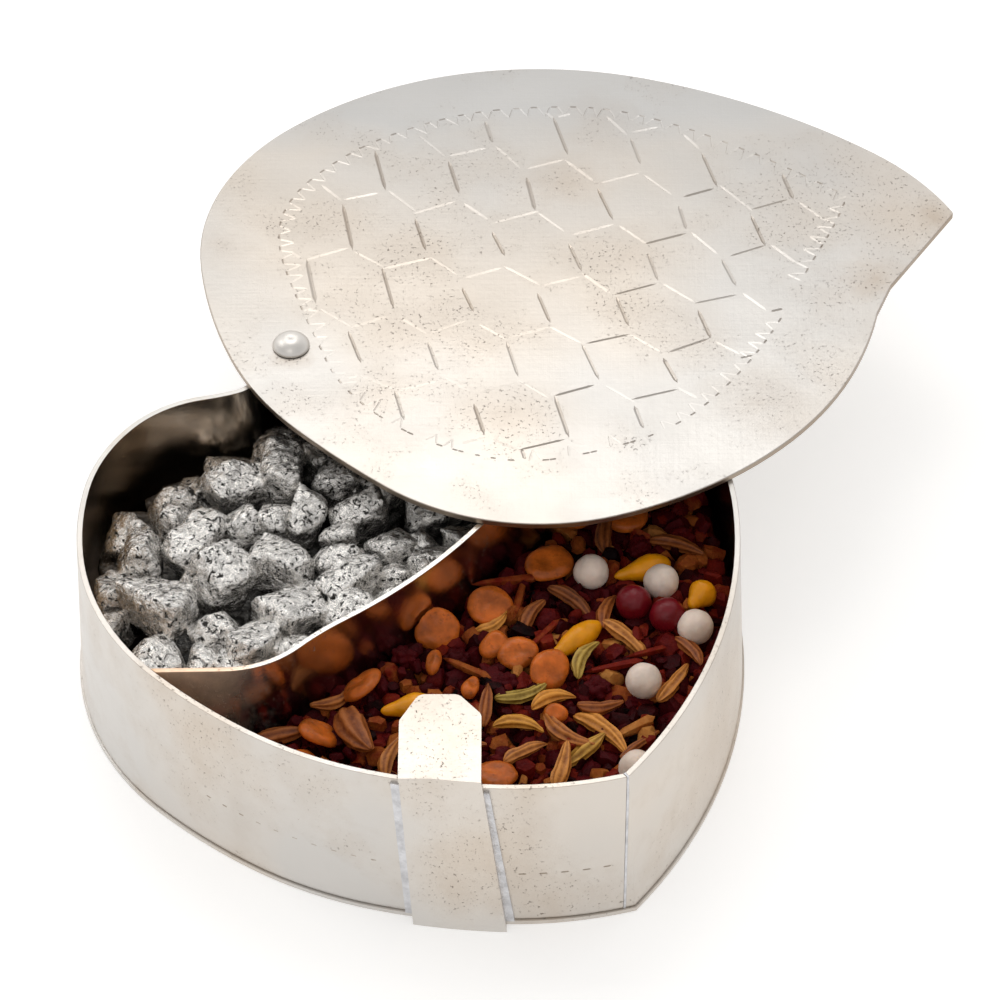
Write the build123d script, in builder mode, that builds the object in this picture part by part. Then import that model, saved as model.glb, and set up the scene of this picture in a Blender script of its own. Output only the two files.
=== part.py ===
from build123d import *
import os
from math import cos, radians, sin

# A leaf-shaped puja box of thin silver-coloured sheet with a lid that swings on one rivet.
# Millimetres, +Z up. The origin is on the underside of the base plate, near its middle.
# The box stands as it is seen with the lid swung open, catch towards -Y.

# Driving dimensions
box_height = 23.4
box_width = 80.0
base_sheet = 0.7
wall_sheet = 0.7
lid_sheet = 0.8
base_rim = 0.25
lid_gap = 0.1

# Rim of the wall: corners between tangent arcs, from the point of the leaf along the
# front, round the left lobe, the pivot lobe, the back and the right side
rim_heading = 196.0
rim_corners = [
    (25.5, -39.6), (8.6, -41.3), (-3.9, -39.2), (-18.3, -32.8), (-29.2, -24.0), (-39.1, -4.3),
    (-39.1, 6.8), (-34.2, 18.0), (-25.4, 23.3), (-21.6, 24.4), (-18.9, 28.6), (-15.8, 35.2),
    (-8.0, 39.6), (5.0, 42.0), (24.3, 34.6), (36.8, 17.0), (39.6, 3.3),
]

# Foot of the wall: the rim's outline, grown from a place on the front and turned a little
foot_growth = 1.025
foot_centre = (-5.0, -38.0)
foot_turn = 0.7

# Lid, drawn where it stands when swung open
lid_heading = -102.3
lid_corners = [
    (58.2, 37.5), (55.1, 27.9), (45.3, 13.7), (24.8, 1.4), (-2.9, 6.5), (-13.9, 16.5),
    (-22.2, 29.1), (-26.8, 46.2), (-23.4, 64.5), (-16.0, 73.8), (8.0, 85.1), (30.3, 83.7),
    (59.5, 68.5), (69.1, 56.5),
]
lid_shoulder = (60.2, 42.6)
lid_tip_radius = 0.7

# Pivot
pivot = (-14.9, 31.3)
shank_radius = 1.2
shank_clearance = 0.05
head_radius = 2.3
head_height = 1.3
tail_radius = 1.9
tail_height = 0.7
lug_sheet = 0.8
lug_left = -19.8
lug_right = -6.5
lug_front = 25.6
lug_depth = 19.0
lug_corner = 1.2

# Divider: a strip bent to a long S, from the left of the front to the right of the back
divider_sheet = 0.7
divider_heading = 0.5
divider_points = [
    (-33.0, -23.1), (-20.9, -22.9), (-12.6, -19.3), (-7.2, -14.7), (8.6, 0.9), (19.5, 12.5),
    (33.0, 32.0),
]

# Catch: a strap soldered to the outside of the wall, its top bent in over the lid
strap_fit = 0.03
strap_proud_top = 0.9
strap_proud_foot = 1.4
strap_top_left = -0.5
strap_top_right = 8.9
strap_foot_left = 0.9
strap_foot_right = 11.8
tongue_sheet = 0.7
tongue_reach = -28.6
tongue_gap = 0.3
tongue_left_cut = (2.2, 4.1)
tongue_right_cut = (2.6, 3.1)
tongue_corner_radius = 1.2
tongue_root = -41.6
strap_front = 60.0
strap_depth = 50.0
strap_solder_width = 0.9
strap_solder_proud = 0.35
strap_solder_top = 22.8

# Solder
foot_solder_width = 0.8
foot_solder_height = 0.5
seam_width = 0.25
seam_depth = 6.0
seam_direction = 125.5
divider_solder_places = [(-31.0, -22.9), (30.0, 27.5)]
divider_solder_drop = 0.8
divider_solder_radius = 1.1
lug_solder_width = 0.5

# Contents: silver-coated nuts on the left of the divider, a mix of seeds on the right
contents_gap = 0.2
nut_bed_top = 14.4
nut_pitch = 8.4
nut_turn = 137.5
nut_half_size = (4.1, 3.2, 3.0)
spice_bed_top = 12.2
ball_radius = 2.15
white_ball_places = [(21.9, 0.5), (30.2, -1.0), (34.3, -9.1), (28.0, -17.0), (26.0, -32.5)]
red_ball_places = [(26.8, -4.2), (30.8, -6.1)]
yellow_half_size = (3.3, 1.9, 1.8)
yellow_places = [(27.6, 3.6, 30), (35.2, -2.4, 60), (19.8, -10.6, 38), (0.6, -21.2, 10)]
disc_half_size = (2.9, 2.7, 0.9)
disc_places = [
    (17.0, 3.9, 0), (9.6, -3.4, 20), (4.0, -9.2, 40), (-4.4, -17.6, 70), (12.0, -12.2, 15),
    (17.8, -16.4, 60), (9.0, -33.5, 0), (-10.0, -26.4, 30), (6.0, -15.6, 80), (26.8, 11.4, 20),
]
seed_half_size = (3.7, 1.3, 1.15)
seed_places = [
    (19.2, -4.4, -28), (25.2, -9.6, -50), (32.6, -15.4, 65), (23.1, -24.4, -52),
    (16.6, -25.6, -45), (17.6, -33.2, 30), (11.6, -20.4, 20), (-3.6, -26.0, -60),
    (-17.6, -27.8, 20), (9.0, -26.6, 80), (28.4, -25.4, 45), (17.4, -20.9, 0),
    (2.6, -26.8, 10), (2.0, -33.6, 20), (21.4, 7.6, 80), (33.0, 6.8, -20), (32.0, 17.2, 40),
]

lid_bottom = box_height + lid_gap
lid_top = lid_bottom + lid_sheet
tongue_bottom = lid_top + tongue_gap
tongue_top = tongue_bottom + tongue_sheet
head_bottom = lid_top + lid_gap
lug_bottom = box_height - lug_sheet
contents_floor = base_sheet + foot_solder_height

os.makedirs("parts", exist_ok=True)


def direction_of(angle):
    return Vector(cos(radians(angle)), sin(radians(angle)))


def tangent_arcs(points, heading):
    """Arcs through the points, each one starting where and as the last one ends."""
    direction = direction_of(heading)
    for start, end in zip(points, points[1:]):
        arc = TangentArc(start, end, tangent=direction)
        direction = arc % 1


def leaf_outline(corners, heading):
    """A closed leaf with one sharp point, at its first corner."""
    with BuildLine() as outline:
        tangent_arcs(corners + corners[:1], heading)
    return outline.wire()


def save(name, piece):
    piece.part.label = name
    export_step(piece.part, "parts/" + name + ".step")


def foot_corner(corner):
    """Where the wall under a corner of the rim reaches the foot."""
    grown_x = foot_centre[0] + foot_growth * (corner[0] - foot_centre[0])
    grown_y = foot_centre[1] + foot_growth * (corner[1] - foot_centre[1])
    place = Vector(grown_x, grown_y).rotate(Axis.Z, foot_turn)
    return (place.X, place.Y)


rim_wire = leaf_outline(rim_corners, rim_heading)
foot_wire = leaf_outline([foot_corner(corner) for corner in rim_corners], rim_heading + foot_turn)


def leaf_block(foot_offset, rim_offset, bottom, top):
    """The leaf as a block whose foot stands out a little further than its rim."""
    with BuildPart() as block:
        with BuildSketch(Plane.XY.offset(bottom)):
            make_face(foot_wire)
            if foot_offset:
                offset(amount=foot_offset, kind=Kind.TANGENT)
        with BuildSketch(Plane.XY.offset(top)):
            make_face(rim_wire)
            if rim_offset:
                offset(amount=rim_offset, kind=Kind.TANGENT)
        loft(ruled=True)
    return block.part


wall_block = leaf_block(0, 0, base_sheet, box_height)
cavity = leaf_block(-wall_sheet, -wall_sheet, base_sheet, box_height)

# Base plate: a flat sheet a little larger than the foot of the wall
with BuildPart() as base_plate:
    with BuildSketch():
        make_face(foot_wire)
        offset(amount=base_rim, kind=Kind.TANGENT)
    extrude(amount=base_sheet)

# Side wall: one strip bent round the leaf, its two ends meeting at the point
with BuildPart() as wall_shell:
    add(wall_block)
    add(cavity, mode=Mode.SUBTRACT)

seam_plane = Plane(
    origin=(rim_corners[0][0], rim_corners[0][1], box_height / 2),
    x_dir=direction_of(seam_direction),
    z_dir=(0, 0, 1),
)
with BuildPart() as seam_slot:
    with BuildSketch(seam_plane):
        Rectangle(seam_depth, seam_width)
    extrude(amount=box_height, both=True)

with BuildPart() as side_wall:
    add(wall_shell.part)
    add(seam_slot.part, mode=Mode.SUBTRACT)

# Seam solder: fills the slit where the ends of the strip meet
with BuildPart() as seam_solder:
    add(wall_shell.part)
    add(seam_slot.part, mode=Mode.INTERSECT)

# Base solder: a low bead all round the inside of the foot
with BuildPart() as base_solder:
    add(cavity)
    with BuildSketch(Plane.XY.offset(contents_floor)):
        Rectangle(2 * box_width, 2 * box_width)
    extrude(amount=box_height, mode=Mode.SUBTRACT)
    with BuildSketch(Plane.XY.offset(base_sheet)):
        make_face(rim_wire)
        offset(amount=-wall_sheet - foot_solder_width, kind=Kind.TANGENT)
    extrude(amount=foot_solder_height, mode=Mode.SUBTRACT)

# Divider: a strip standing on edge, its ends soldered to the wall
with BuildLine() as divider_line:
    tangent_arcs(divider_points, divider_heading)

with BuildPart() as divider_strip:
    with BuildSketch(Plane.XY.offset(contents_floor)):
        trace(divider_line.line, line_width=divider_sheet)
    extrude(amount=box_height - contents_floor)

with BuildPart() as divider:
    add(divider_strip.part)
    add(cavity, mode=Mode.INTERSECT)

# Divider solder: fillets in the corners that the divider makes with the wall
with BuildPart() as divider_solder:
    with BuildSketch(Plane.XY.offset(contents_floor)):
        for place in divider_solder_places:
            with Locations(place):
                Circle(divider_solder_radius)
    extrude(amount=box_height - contents_floor - divider_solder_drop)
    add(cavity, mode=Mode.INTERSECT)
    add(divider_strip.part, mode=Mode.SUBTRACT)

# Pivot lug: a plate let in flush with the rim, filling the small lobe of the wall
with BuildPart() as lug_block:
    with BuildSketch(Plane.XY.offset(lug_bottom)):
        with Locations(((lug_left + lug_right) / 2, lug_front + lug_depth / 2)):
            RectangleRounded(lug_right - lug_left, lug_depth, lug_corner)
    extrude(amount=lug_sheet)
    add(cavity, mode=Mode.INTERSECT)

with BuildPart() as pivot_lug:
    add(lug_block.part)
    with BuildSketch(Plane.XY.offset(lug_bottom)):
        with Locations(pivot):
            Circle(shank_radius)
    extrude(amount=lug_sheet, mode=Mode.SUBTRACT)

# Lug solder: a bead under the plate where it meets the wall
with BuildPart() as lug_solder:
    with BuildSketch(Plane.XY.offset(lug_bottom - lug_solder_width)):
        with Locations(((lug_left + lug_right) / 2, lug_front + lug_depth / 2)):
            RectangleRounded(lug_right - lug_left, lug_depth, lug_corner)
    extrude(amount=lug_solder_width)
    add(cavity, mode=Mode.INTERSECT)
    with BuildSketch(Plane.XY.offset(lug_bottom - lug_solder_width)):
        make_face(rim_wire)
        offset(amount=-wall_sheet - lug_solder_width, kind=Kind.TANGENT)
    extrude(amount=lug_solder_width, mode=Mode.SUBTRACT)

# Pivot rivet: a domed head, a shank through lid and lug, and a flattened tail
pivot_plane = Plane(origin=(pivot[0], pivot[1], 0), x_dir=(1, 0, 0), z_dir=(0, -1, 0))
with BuildPart() as pivot_rivet:
    with BuildSketch(pivot_plane):
        with BuildLine():
            head = ThreePointArc(
                (0, head_bottom + head_height),
                (0.72 * head_radius, head_bottom + 0.78 * head_height),
                (head_radius, head_bottom + 0.18 * head_height),
            )
            Polyline(
                head @ 1,
                (head_radius, head_bottom),
                (shank_radius, head_bottom),
                (shank_radius, lug_bottom),
                (tail_radius, lug_bottom),
                (tail_radius, lug_bottom - 0.4 * tail_height),
                (0.6 * tail_radius, lug_bottom - tail_height),
                (0, lug_bottom - tail_height),
                head @ 0,
            )
        make_face()
    revolve(axis=Axis((pivot[0], pivot[1], 0), (0, 0, 1)))

# Lid: a flat leaf, its point drawn out into a thumb tab beyond a small shoulder
with BuildPart() as lid:
    with BuildSketch(Plane.XY.offset(lid_bottom)):
        with BuildLine():
            tangent_arcs(lid_corners, lid_heading)
            Polyline(lid_corners[-1], lid_shoulder, lid_corners[0])
        make_face()
        fillet(vertices().sort_by_distance(lid_corners[-1])[0], lid_tip_radius)
        with Locations(pivot):
            Circle(shank_radius + shank_clearance, mode=Mode.SUBTRACT)
    extrude(amount=lid_sheet)

# Catch strap: soldered up the outside of the wall, then bent in over the lid
strap_block = leaf_block(strap_proud_foot, strap_proud_top, 0, tongue_top)
wall_clear = leaf_block(strap_fit, strap_fit, 0, tongue_top)

with BuildPart() as catch_strap:
    add(strap_block)
    add(wall_clear, mode=Mode.SUBTRACT)
    with BuildSketch(Plane.XZ.offset(strap_front)):
        with BuildLine():
            Polyline(
                (strap_foot_left, 0),
                (strap_foot_right, 0),
                (strap_top_right, tongue_top),
                (strap_top_left, tongue_top),
                close=True,
            )
        make_face()
    extrude(amount=-strap_depth, mode=Mode.INTERSECT)
    with BuildSketch(Plane.XY.offset(tongue_bottom)):
        with BuildLine():
            Polyline(
                (strap_top_left, tongue_root),
                (strap_top_right, tongue_root),
                (strap_top_right, tongue_reach - tongue_right_cut[1]),
                (strap_top_right - tongue_right_cut[0], tongue_reach),
                (strap_top_left + tongue_left_cut[0], tongue_reach),
                (strap_top_left, tongue_reach - tongue_left_cut[1]),
                close=True,
            )
        make_face()
        fillet(vertices().sort_by(Axis.Y)[-4:], tongue_corner_radius)
    extrude(amount=tongue_sheet)
    add(base_plate.part, mode=Mode.SUBTRACT)

# Catch solder: a stripe on the wall down each side of the strap
solder_block = leaf_block(strap_solder_proud, strap_solder_proud, base_sheet, box_height)
with BuildPart() as catch_solder:
    add(solder_block)
    add(wall_block, mode=Mode.SUBTRACT)
    with BuildSketch(Plane.XZ.offset(strap_front)):
        with BuildLine():
            Polyline(
                (strap_foot_left - strap_solder_width, base_sheet),
                (strap_foot_right + strap_solder_width, base_sheet),
                (strap_top_right + strap_solder_width, strap_solder_top),
                (strap_top_left - strap_solder_width, strap_solder_top),
                close=True,
            )
        make_face()
    extrude(amount=-strap_depth, mode=Mode.INTERSECT)
    add(catch_strap.part, mode=Mode.SUBTRACT)

# Beds: the lower layers of the contents, filling the two compartments
with BuildSketch() as compartments:
    make_face(rim_wire)
    offset(amount=-wall_sheet - contents_gap, kind=Kind.TANGENT)
    trace(divider_line.line, line_width=divider_sheet + 2 * contents_gap, mode=Mode.SUBTRACT)
    for place in divider_solder_places:
        with Locations(place):
            Circle(divider_solder_radius + contents_gap, mode=Mode.SUBTRACT)

nut_floor = compartments.faces().sort_by(Axis.X)[0]
spice_floor = compartments.faces().sort_by(Axis.X)[-1]

with BuildPart() as nut_bed:
    with BuildSketch(Plane.XY.offset(contents_floor)):
        add(nut_floor)
    extrude(amount=nut_bed_top - contents_floor)

with BuildPart() as spice_bed:
    with BuildSketch(Plane.XY.offset(contents_floor)):
        add(spice_floor)
    extrude(amount=spice_bed_top - contents_floor)


def pebble(half_size):
    """A rounded lump, standing on its lowest point."""
    return Pos(0, 0, half_size[2]) * scale(Sphere(1), by=half_size)


def scattered(half_size, places, height):
    """Copies of one lump, each turned in plan, lying on a bed."""
    lump = pebble(half_size)
    with BuildPart() as group:
        for x, y, turn in places:
            with Locations(Location((x, y, height), (0, 0, turn))):
                add(lump)
    return group


# Silver nuts: staggered rows on their bed, each turned further than the last
with BuildSketch() as nut_room:
    add(nut_floor)
    offset(amount=-nut_half_size[0], kind=Kind.TANGENT)

nut_places = []
for row in range(-6, 7):
    for column in range(-6, 7):
        nut_x = nut_pitch * (column + 0.5 * (row % 2))
        nut_y = nut_pitch * sin(radians(60)) * row
        if nut_room.face().is_inside((nut_x, nut_y, 0)):
            nut_places.append((nut_x, nut_y, nut_turn * len(nut_places)))

silver_nuts = scattered(nut_half_size, nut_places, nut_bed_top)

# Sweets and seeds on their bed
ball_half_size = (ball_radius, ball_radius, ball_radius)
white_candies = scattered(ball_half_size, [(x, y, 0) for x, y in white_ball_places], spice_bed_top)
red_candies = scattered(ball_half_size, [(x, y, 0) for x, y in red_ball_places], spice_bed_top)
yellow_candies = scattered(yellow_half_size, yellow_places, spice_bed_top)
orange_lentils = scattered(disc_half_size, disc_places, spice_bed_top)
fennel_seeds = scattered(seed_half_size, seed_places, spice_bed_top)

save("base_plate", base_plate)
save("side_wall", side_wall)
save("seam_solder", seam_solder)
save("base_solder", base_solder)
save("divider", divider)
save("divider_solder", divider_solder)
save("pivot_lug", pivot_lug)
save("lug_solder", lug_solder)
save("pivot_rivet", pivot_rivet)
save("lid", lid)
save("catch_strap", catch_strap)
save("catch_solder", catch_solder)
save("nut_bed", nut_bed)
save("spice_bed", spice_bed)
save("silver_nuts", silver_nuts)
save("white_candies", white_candies)
save("red_candies", red_candies)
save("yellow_candies", yellow_candies)
save("orange_lentils", orange_lentils)
save("fennel_seeds", fennel_seeds)
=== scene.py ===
import math
import random

import bpy
from bpy.props import FloatProperty, FloatVectorProperty, IntProperty, PointerProperty
from mathutils import Euler, Matrix, Vector
from mathutils.bvhtree import BVHTree


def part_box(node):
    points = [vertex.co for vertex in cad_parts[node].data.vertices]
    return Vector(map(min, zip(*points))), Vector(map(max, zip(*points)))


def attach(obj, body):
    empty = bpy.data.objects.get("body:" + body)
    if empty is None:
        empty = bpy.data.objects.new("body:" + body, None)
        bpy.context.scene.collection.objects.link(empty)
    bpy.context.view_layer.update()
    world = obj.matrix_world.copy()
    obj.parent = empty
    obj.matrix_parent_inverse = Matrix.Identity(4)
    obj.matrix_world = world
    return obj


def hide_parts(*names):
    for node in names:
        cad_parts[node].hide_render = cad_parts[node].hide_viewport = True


bl_info = {
    "name": "Puja box",
    "version": (1, 0, 0),
    "blender": (4, 5, 0),
    "location": "3D View > Sidebar > Puja box",
    "description": "Dresses the pieces of a leaf-shaped puja box and fills its two compartments",
    "category": "Object",
}

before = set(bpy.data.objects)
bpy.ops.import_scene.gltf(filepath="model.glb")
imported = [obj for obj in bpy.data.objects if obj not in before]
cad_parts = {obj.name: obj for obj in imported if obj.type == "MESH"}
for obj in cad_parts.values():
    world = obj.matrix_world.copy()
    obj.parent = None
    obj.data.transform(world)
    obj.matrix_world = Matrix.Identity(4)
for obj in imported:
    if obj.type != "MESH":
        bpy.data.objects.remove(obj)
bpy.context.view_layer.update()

mm = 0.001
UP = Vector((0, 0, 1))
DOWN = Vector((0, 0, -1))


def solid_of(node):
    """A node's mesh, ready to be met by rays."""
    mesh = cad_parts[node].data
    return BVHTree.FromPolygons([vertex.co for vertex in mesh.vertices],
                                [face.vertices for face in mesh.polygons])


nut_solid = solid_of("nut_bed")
spice_solid = solid_of("spice_bed")
wall_solid = solid_of("side_wall")

# Levels taken from the frame
rim_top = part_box("side_wall")[1].z
lid_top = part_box("lid")[1].z
spice_bed_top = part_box("spice_bed")[1].z

# Point at rim height that the camera looks at, millimetres
CAMERA_AIM = (11.0, 5.0)

# Floor: its side and how far it lies under the box, metres, and the colour of its glow
FLOOR_SIDE = 6
FLOOR_DROP = 0.02 * mm
FLOOR_LIGHT = (1.0, 0.985, 0.965)

# Soft lamps: name, place and side, metres, share of the lamp's power, and colour
LAMPS = [
    ("back_lamp", (-0.05, 0.55, 0.90), 0.44, 1.0, (1.0, 0.98, 0.95)),
    ("left_lamp", (-0.62, 0.36, 0.70), 0.28, 0.7, (1.0, 0.98, 0.95)),
    ("front_lamp", (-0.10, -0.62, 0.72), 0.40, 0.35, (1.0, 0.97, 0.93)),
]

# Grey of the room's upper part in front, at the sides and behind
ROOM_FRONT = (0.60, 0.595, 0.59)
ROOM_SIDE = (0.62, 0.615, 0.61)
ROOM_BACK = (0.90, 0.895, 0.89)

# The engraved border of the lid: a leaf inside the leaf, millimetres, from its point round
# the far side, the left and the near side
BORDER_POINTS = [
    (55.6, 59.8), (52.0, 62.6), (45.0, 67.6), (35.0, 73.6), (25.0, 77.3), (15.0, 77.6),
    (5.0, 75.8), (-5.5, 70.6), (-13.0, 63.6), (-16.6, 57.0), (-17.0, 50.0), (-15.0, 42.0),
    (-11.6, 32.0), (-8.8, 25.0), (-3.6, 18.6), (4.0, 13.4), (14.0, 10.8), (24.0, 13.0),
    (32.4, 17.2), (39.2, 24.6), (45.2, 34.6), (50.0, 46.0), (53.6, 54.0),
]
BORDER_GAP = (45.0, 36.5, 43.0)

# Strokes of the border: widths of a tooth's two sides and of a dash beside the stroke width,
# and the near left corner where most teeth are worn away, millimetres
TOOTH_OUT = 0.66
TOOTH_BACK = 0.60
BORDER_DASH = 0.60
WORN_CORNER = (30, 19)
WORN_SHARE = 0.75

# Honeycomb of the lid, millimetres: its zigzag rows have a valley, a rise to a peak and a
# fall to the next valley, and an upright hangs from each valley to a peak of the row below.
# Each row runs a little more level than the last.
COMB_START = (4.2, 67.6)
COMB_ALONG = (9.75, -2.65)
COMB_LEVELLING = 0.5
COMB_DOWN = (-4.0, -10.9)
COMB_RISE = (5.8, 2.2)
COMB_ROWS = range(-1, 6)
COMB_COLUMNS = range(-3, 8)

# Strokes of the honeycomb: a rise is lit where its x is under this share of its y; then the
# widths beside the stroke width, and how far an end strays, millimetres
LIT_SHARE = 0.4
LIT_RISE = 0.92
DULL_RISE = 0.76
FALL = 0.92
UPRIGHT = 1.1
STRAY = 0.35

# Chisel that makes the cuts: its straight middle and each point, shares of its length
CHISEL_MIDDLE = 0.7
CHISEL_POINT = 0.15

# A bright stroke: the way its wide flank faces in plan, how far it leans and its depth
# beside a dull one's, and how far every cutter's middle stands over the sheet
LIT_WAY = Vector((-0.4, -0.9))
BRIGHT_LEAN = 0.75
BRIGHT_DEPTH = 0.43
PROUD = 0.006 * mm

# Brown spots on the lid: place, radius, millimetres, and strength
LID_SPOTS = [
    (19.0, 62.5, 12.0, 0.30), (58.5, 44.0, 10.0, 0.42), (66.5, 55.5, 9.0, 0.42),
    (-14.9, 29.6, 6.0, 0.34), (24.0, 74.5, 13.0, 0.18), (43.0, 21.0, 16.0, 0.24),
    (-24.0, 50.0, 8.0, 0.18), (8.0, 40.0, 14.0, 0.10), (62.0, 38.0, 7.0, 0.30),
]

# Brown marks on the wall, seen in plan: place, radius, millimetres, and strength.
# The first, broad one is painted shade on the right of the front; the two small ones are stains.
WALL_STAINS_AND_SHADE = [(40.0, -18.0, 24.0, 0.34), (14.0, -41.0, 7.0, 0.22), (-20.0, -33.0, 6.0, 0.18)]

# Painted light inside the box: a lighter painted reflection of the nuts on the inside of the wall,
# and a painted lit tan area on the divider's left end: place, radius, millimetres, and strength,
# then colour
INNER_PAINTED_REFLECTION = (-24.0, 32.0, 32.0, 1.0)
INNER_REFLECTION_COLOUR = (0.92, 0.86, 0.78)
DIVIDER_PAINTED_LIGHT = (-27.0, -21.0, 26.0, 1.0)
DIVIDER_LIGHT_COLOUR = (0.90, 0.58, 0.36)

# Cut dashes along the wall: height, pitch and size, and the stretch behind the strap,
# millimetres, and the sweep round the wall that finds their places, degrees
DASH_LEVEL = 8.7
DASH_PITCH = 2.4
DASH_LENGTH = 1.0
DASH_WIDTH = 0.24
DASH_DEPTH = 0.09
STRAP_LEFT = -1.5
STRAP_RIGHT = 13.5
SWEEP_START = -128
SWEEP_STEP = 0.16
SWEEP_STEPS = 440

# Coated nuts: place in plan and drop of the top below the rim, then length, width and
# height, millimetres, and turn in plan, degrees
NUTS = [
    (-32.3, 2.2, 4.0, 8.0, 6.4, 6.0, 95), (-35.7, -3.6, 5.0, 7.4, 4.2, 5.4, 90),
    (-35.2, -9.2, 6.0, 5.0, 4.0, 5.0, 60), (-29.7, -7.6, 2.4, 10.6, 7.2, 6.4, -38),
    (-28.3, 8.6, 5.0, 5.2, 4.2, 5.0, 60), (-25.8, 3.6, 2.6, 10.8, 6.2, 6.4, 58),
    (-21.4, 13.4, 3.6, 9.0, 7.0, 6.0, 35), (-22.4, -2.4, 2.2, 9.6, 8.2, 6.6, 40),
    (-20.1, 6.0, 3.4, 5.4, 4.4, 5.0, 20), (-15.9, 15.6, 2.8, 9.6, 6.2, 6.4, 82),
    (-16.1, 6.8, 3.2, 6.4, 4.6, 5.4, 80), (-15.3, -0.4, 2.8, 9.4, 6.2, 6.0, -20),
    (-29.7, -15.4, 4.2, 8.2, 7.0, 6.0, 30), (-34.0, -14.4, 7.0, 5.2, 4.4, 5.0, 75),
    (-28.6, -19.6, 6.4, 6.4, 3.4, 4.6, 5), (-22.4, -11.2, 4.0, 6.6, 5.4, 5.4, 15),
    (-23.9, -16.6, 4.8, 5.8, 4.8, 5.2, 85), (-20.7, -16.9, 4.4, 5.2, 4.6, 5.2, 40),
    (-17.8, -13.8, 3.0, 8.8, 6.2, 6.2, 70), (-14.0, -8.6, 2.6, 9.8, 7.6, 6.4, 30),
    (-13.4, -14.6, 4.2, 6.2, 5.4, 5.2, 45), (-12.5, 8.0, 3.0, 8.2, 5.0, 5.6, 75),
    (-9.1, 14.4, 4.2, 6.0, 5.0, 5.4, 20), (-6.2, 8.6, 3.6, 8.0, 5.6, 5.6, 10),
    (-8.2, 5.2, 4.4, 5.6, 3.6, 4.6, 5), (-8.1, 0.4, 3.8, 7.4, 4.2, 5.0, -10),
    (-7.1, -3.8, 2.8, 9.6, 5.8, 5.8, 38), (-2.3, 2.6, 4.0, 6.2, 5.4, 5.2, 30),
    (-6.6, -9.0, 3.0, 8.2, 5.8, 5.8, -12), (-1.6, -6.2, 4.4, 5.6, 3.6, 4.6, 10),
    (-1.3, -1.8, 4.6, 5.6, 4.4, 5.0, 80), (3.4, -0.4, 3.6, 8.0, 6.0, 5.8, 35),
    (1.2, 3.6, 5.0, 5.4, 4.6, 5.0, 20), (-34.6, 8.6, 8.0, 7.0, 5.6, 5.6, 70),
    (-29.6, 13.4, 8.0, 7.2, 5.4, 5.6, 40), (-26.0, 17.0, 8.4, 6.8, 5.4, 5.4, 30),
    (-22.0, 20.0, 8.0, 7.4, 5.4, 5.6, 10), (-16.6, 22.6, 6.0, 8.2, 6.4, 6.0, 50),
    (-9.4, 21.0, 5.4, 8.0, 6.2, 6.0, 20), (-3.0, 16.4, 5.0, 8.2, 6.0, 6.0, 60),
    (2.6, 10.4, 5.0, 8.0, 6.2, 6.0, 25), (7.4, 4.8, 5.0, 7.0, 5.4, 5.6, 45),
    (8.6, 14.6, 5.4, 8.0, 6.2, 6.0, 80), (-2.6, 24.6, 5.6, 8.4, 6.4, 6.0, 35),
    (5.4, 22.0, 5.6, 8.2, 6.2, 6.0, 70), (12.6, 20.6, 5.8, 8.0, 6.2, 6.0, 15),
    (-10.4, 28.4, 6.0, 8.4, 6.2, 6.0, 55), (0.4, 31.6, 6.0, 8.2, 6.2, 6.0, 25),
    (9.6, 29.6, 6.2, 8.0, 6.0, 6.0, 85), (17.6, 27.4, 6.4, 8.0, 6.0, 5.8, 40),
]

# A nut's length and width beside the list's, and its mesh on top and below, millimetres
NUT_SLIMMING = (0.95, 0.93)
NUT_MESH = 0.42
LOWER_NUT_MESH = 0.8

# Nuts below the top layer: pitch, sway, drop below the rim and size, millimetres
LOWER_PITCH = 6.4
LOWER_SWAY = 0.8
LOWER_DROP = (10.0, 11.6)
LOWER_SIZE = (8.2, 7.0, 5.8)
LOWER_ROWS = range(-5, 8)
LOWER_COLUMNS = range(-7, 6)

# Tops of what fills the two compartments under the loose pieces, millimetres
NUT_BODY_TOP = 8.0
SPICE_BODY_TOP = 10.6

# Layers of crumbs: step, lowest and highest place about the bed's top, millimetres, and size
# beside the crumb size
CRUMB_LAYERS = [(1.9, -1.3, 0.2, 1.25), (1.75, 0.1, 1.6, 1.0)]

# How far the loose pieces lie over the top of the spice bed, millimetres
CLUSTER_LIFT = 1.5
STICK_LIFT = 2.5
LENTIL_LIFT = 2.3
FENNEL_LIFT = 1.9
SWEET_LIFT = 1.0

# Half thickness of a split seed, millimetres, and a long seed's girth beside the list's
LENTIL_HALF_THICKNESS = 0.95
FENNEL_SLIMMING = 0.76

# Sweets: place in plan, millimetres, then turn, degrees, and half length and half width
WHITE_PLACES = [(22.0, 0.8), (30.4, -0.8), (34.3, -8.4), (27.9, -17.2), (26.8, -31.0)]
RED_PLACES = [(27.0, -4.3), (31.0, -6.4)]
YELLOW_DROPS = [
    (28.2, 1.6, 20, 3.65, 1.75), (35.0, -3.0, 55, 2.2, 1.85), (19.7, -10.4, 44, 4.5, 1.65),
    (0.2, -21.0, 12, 3.2, 1.7),
]

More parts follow.
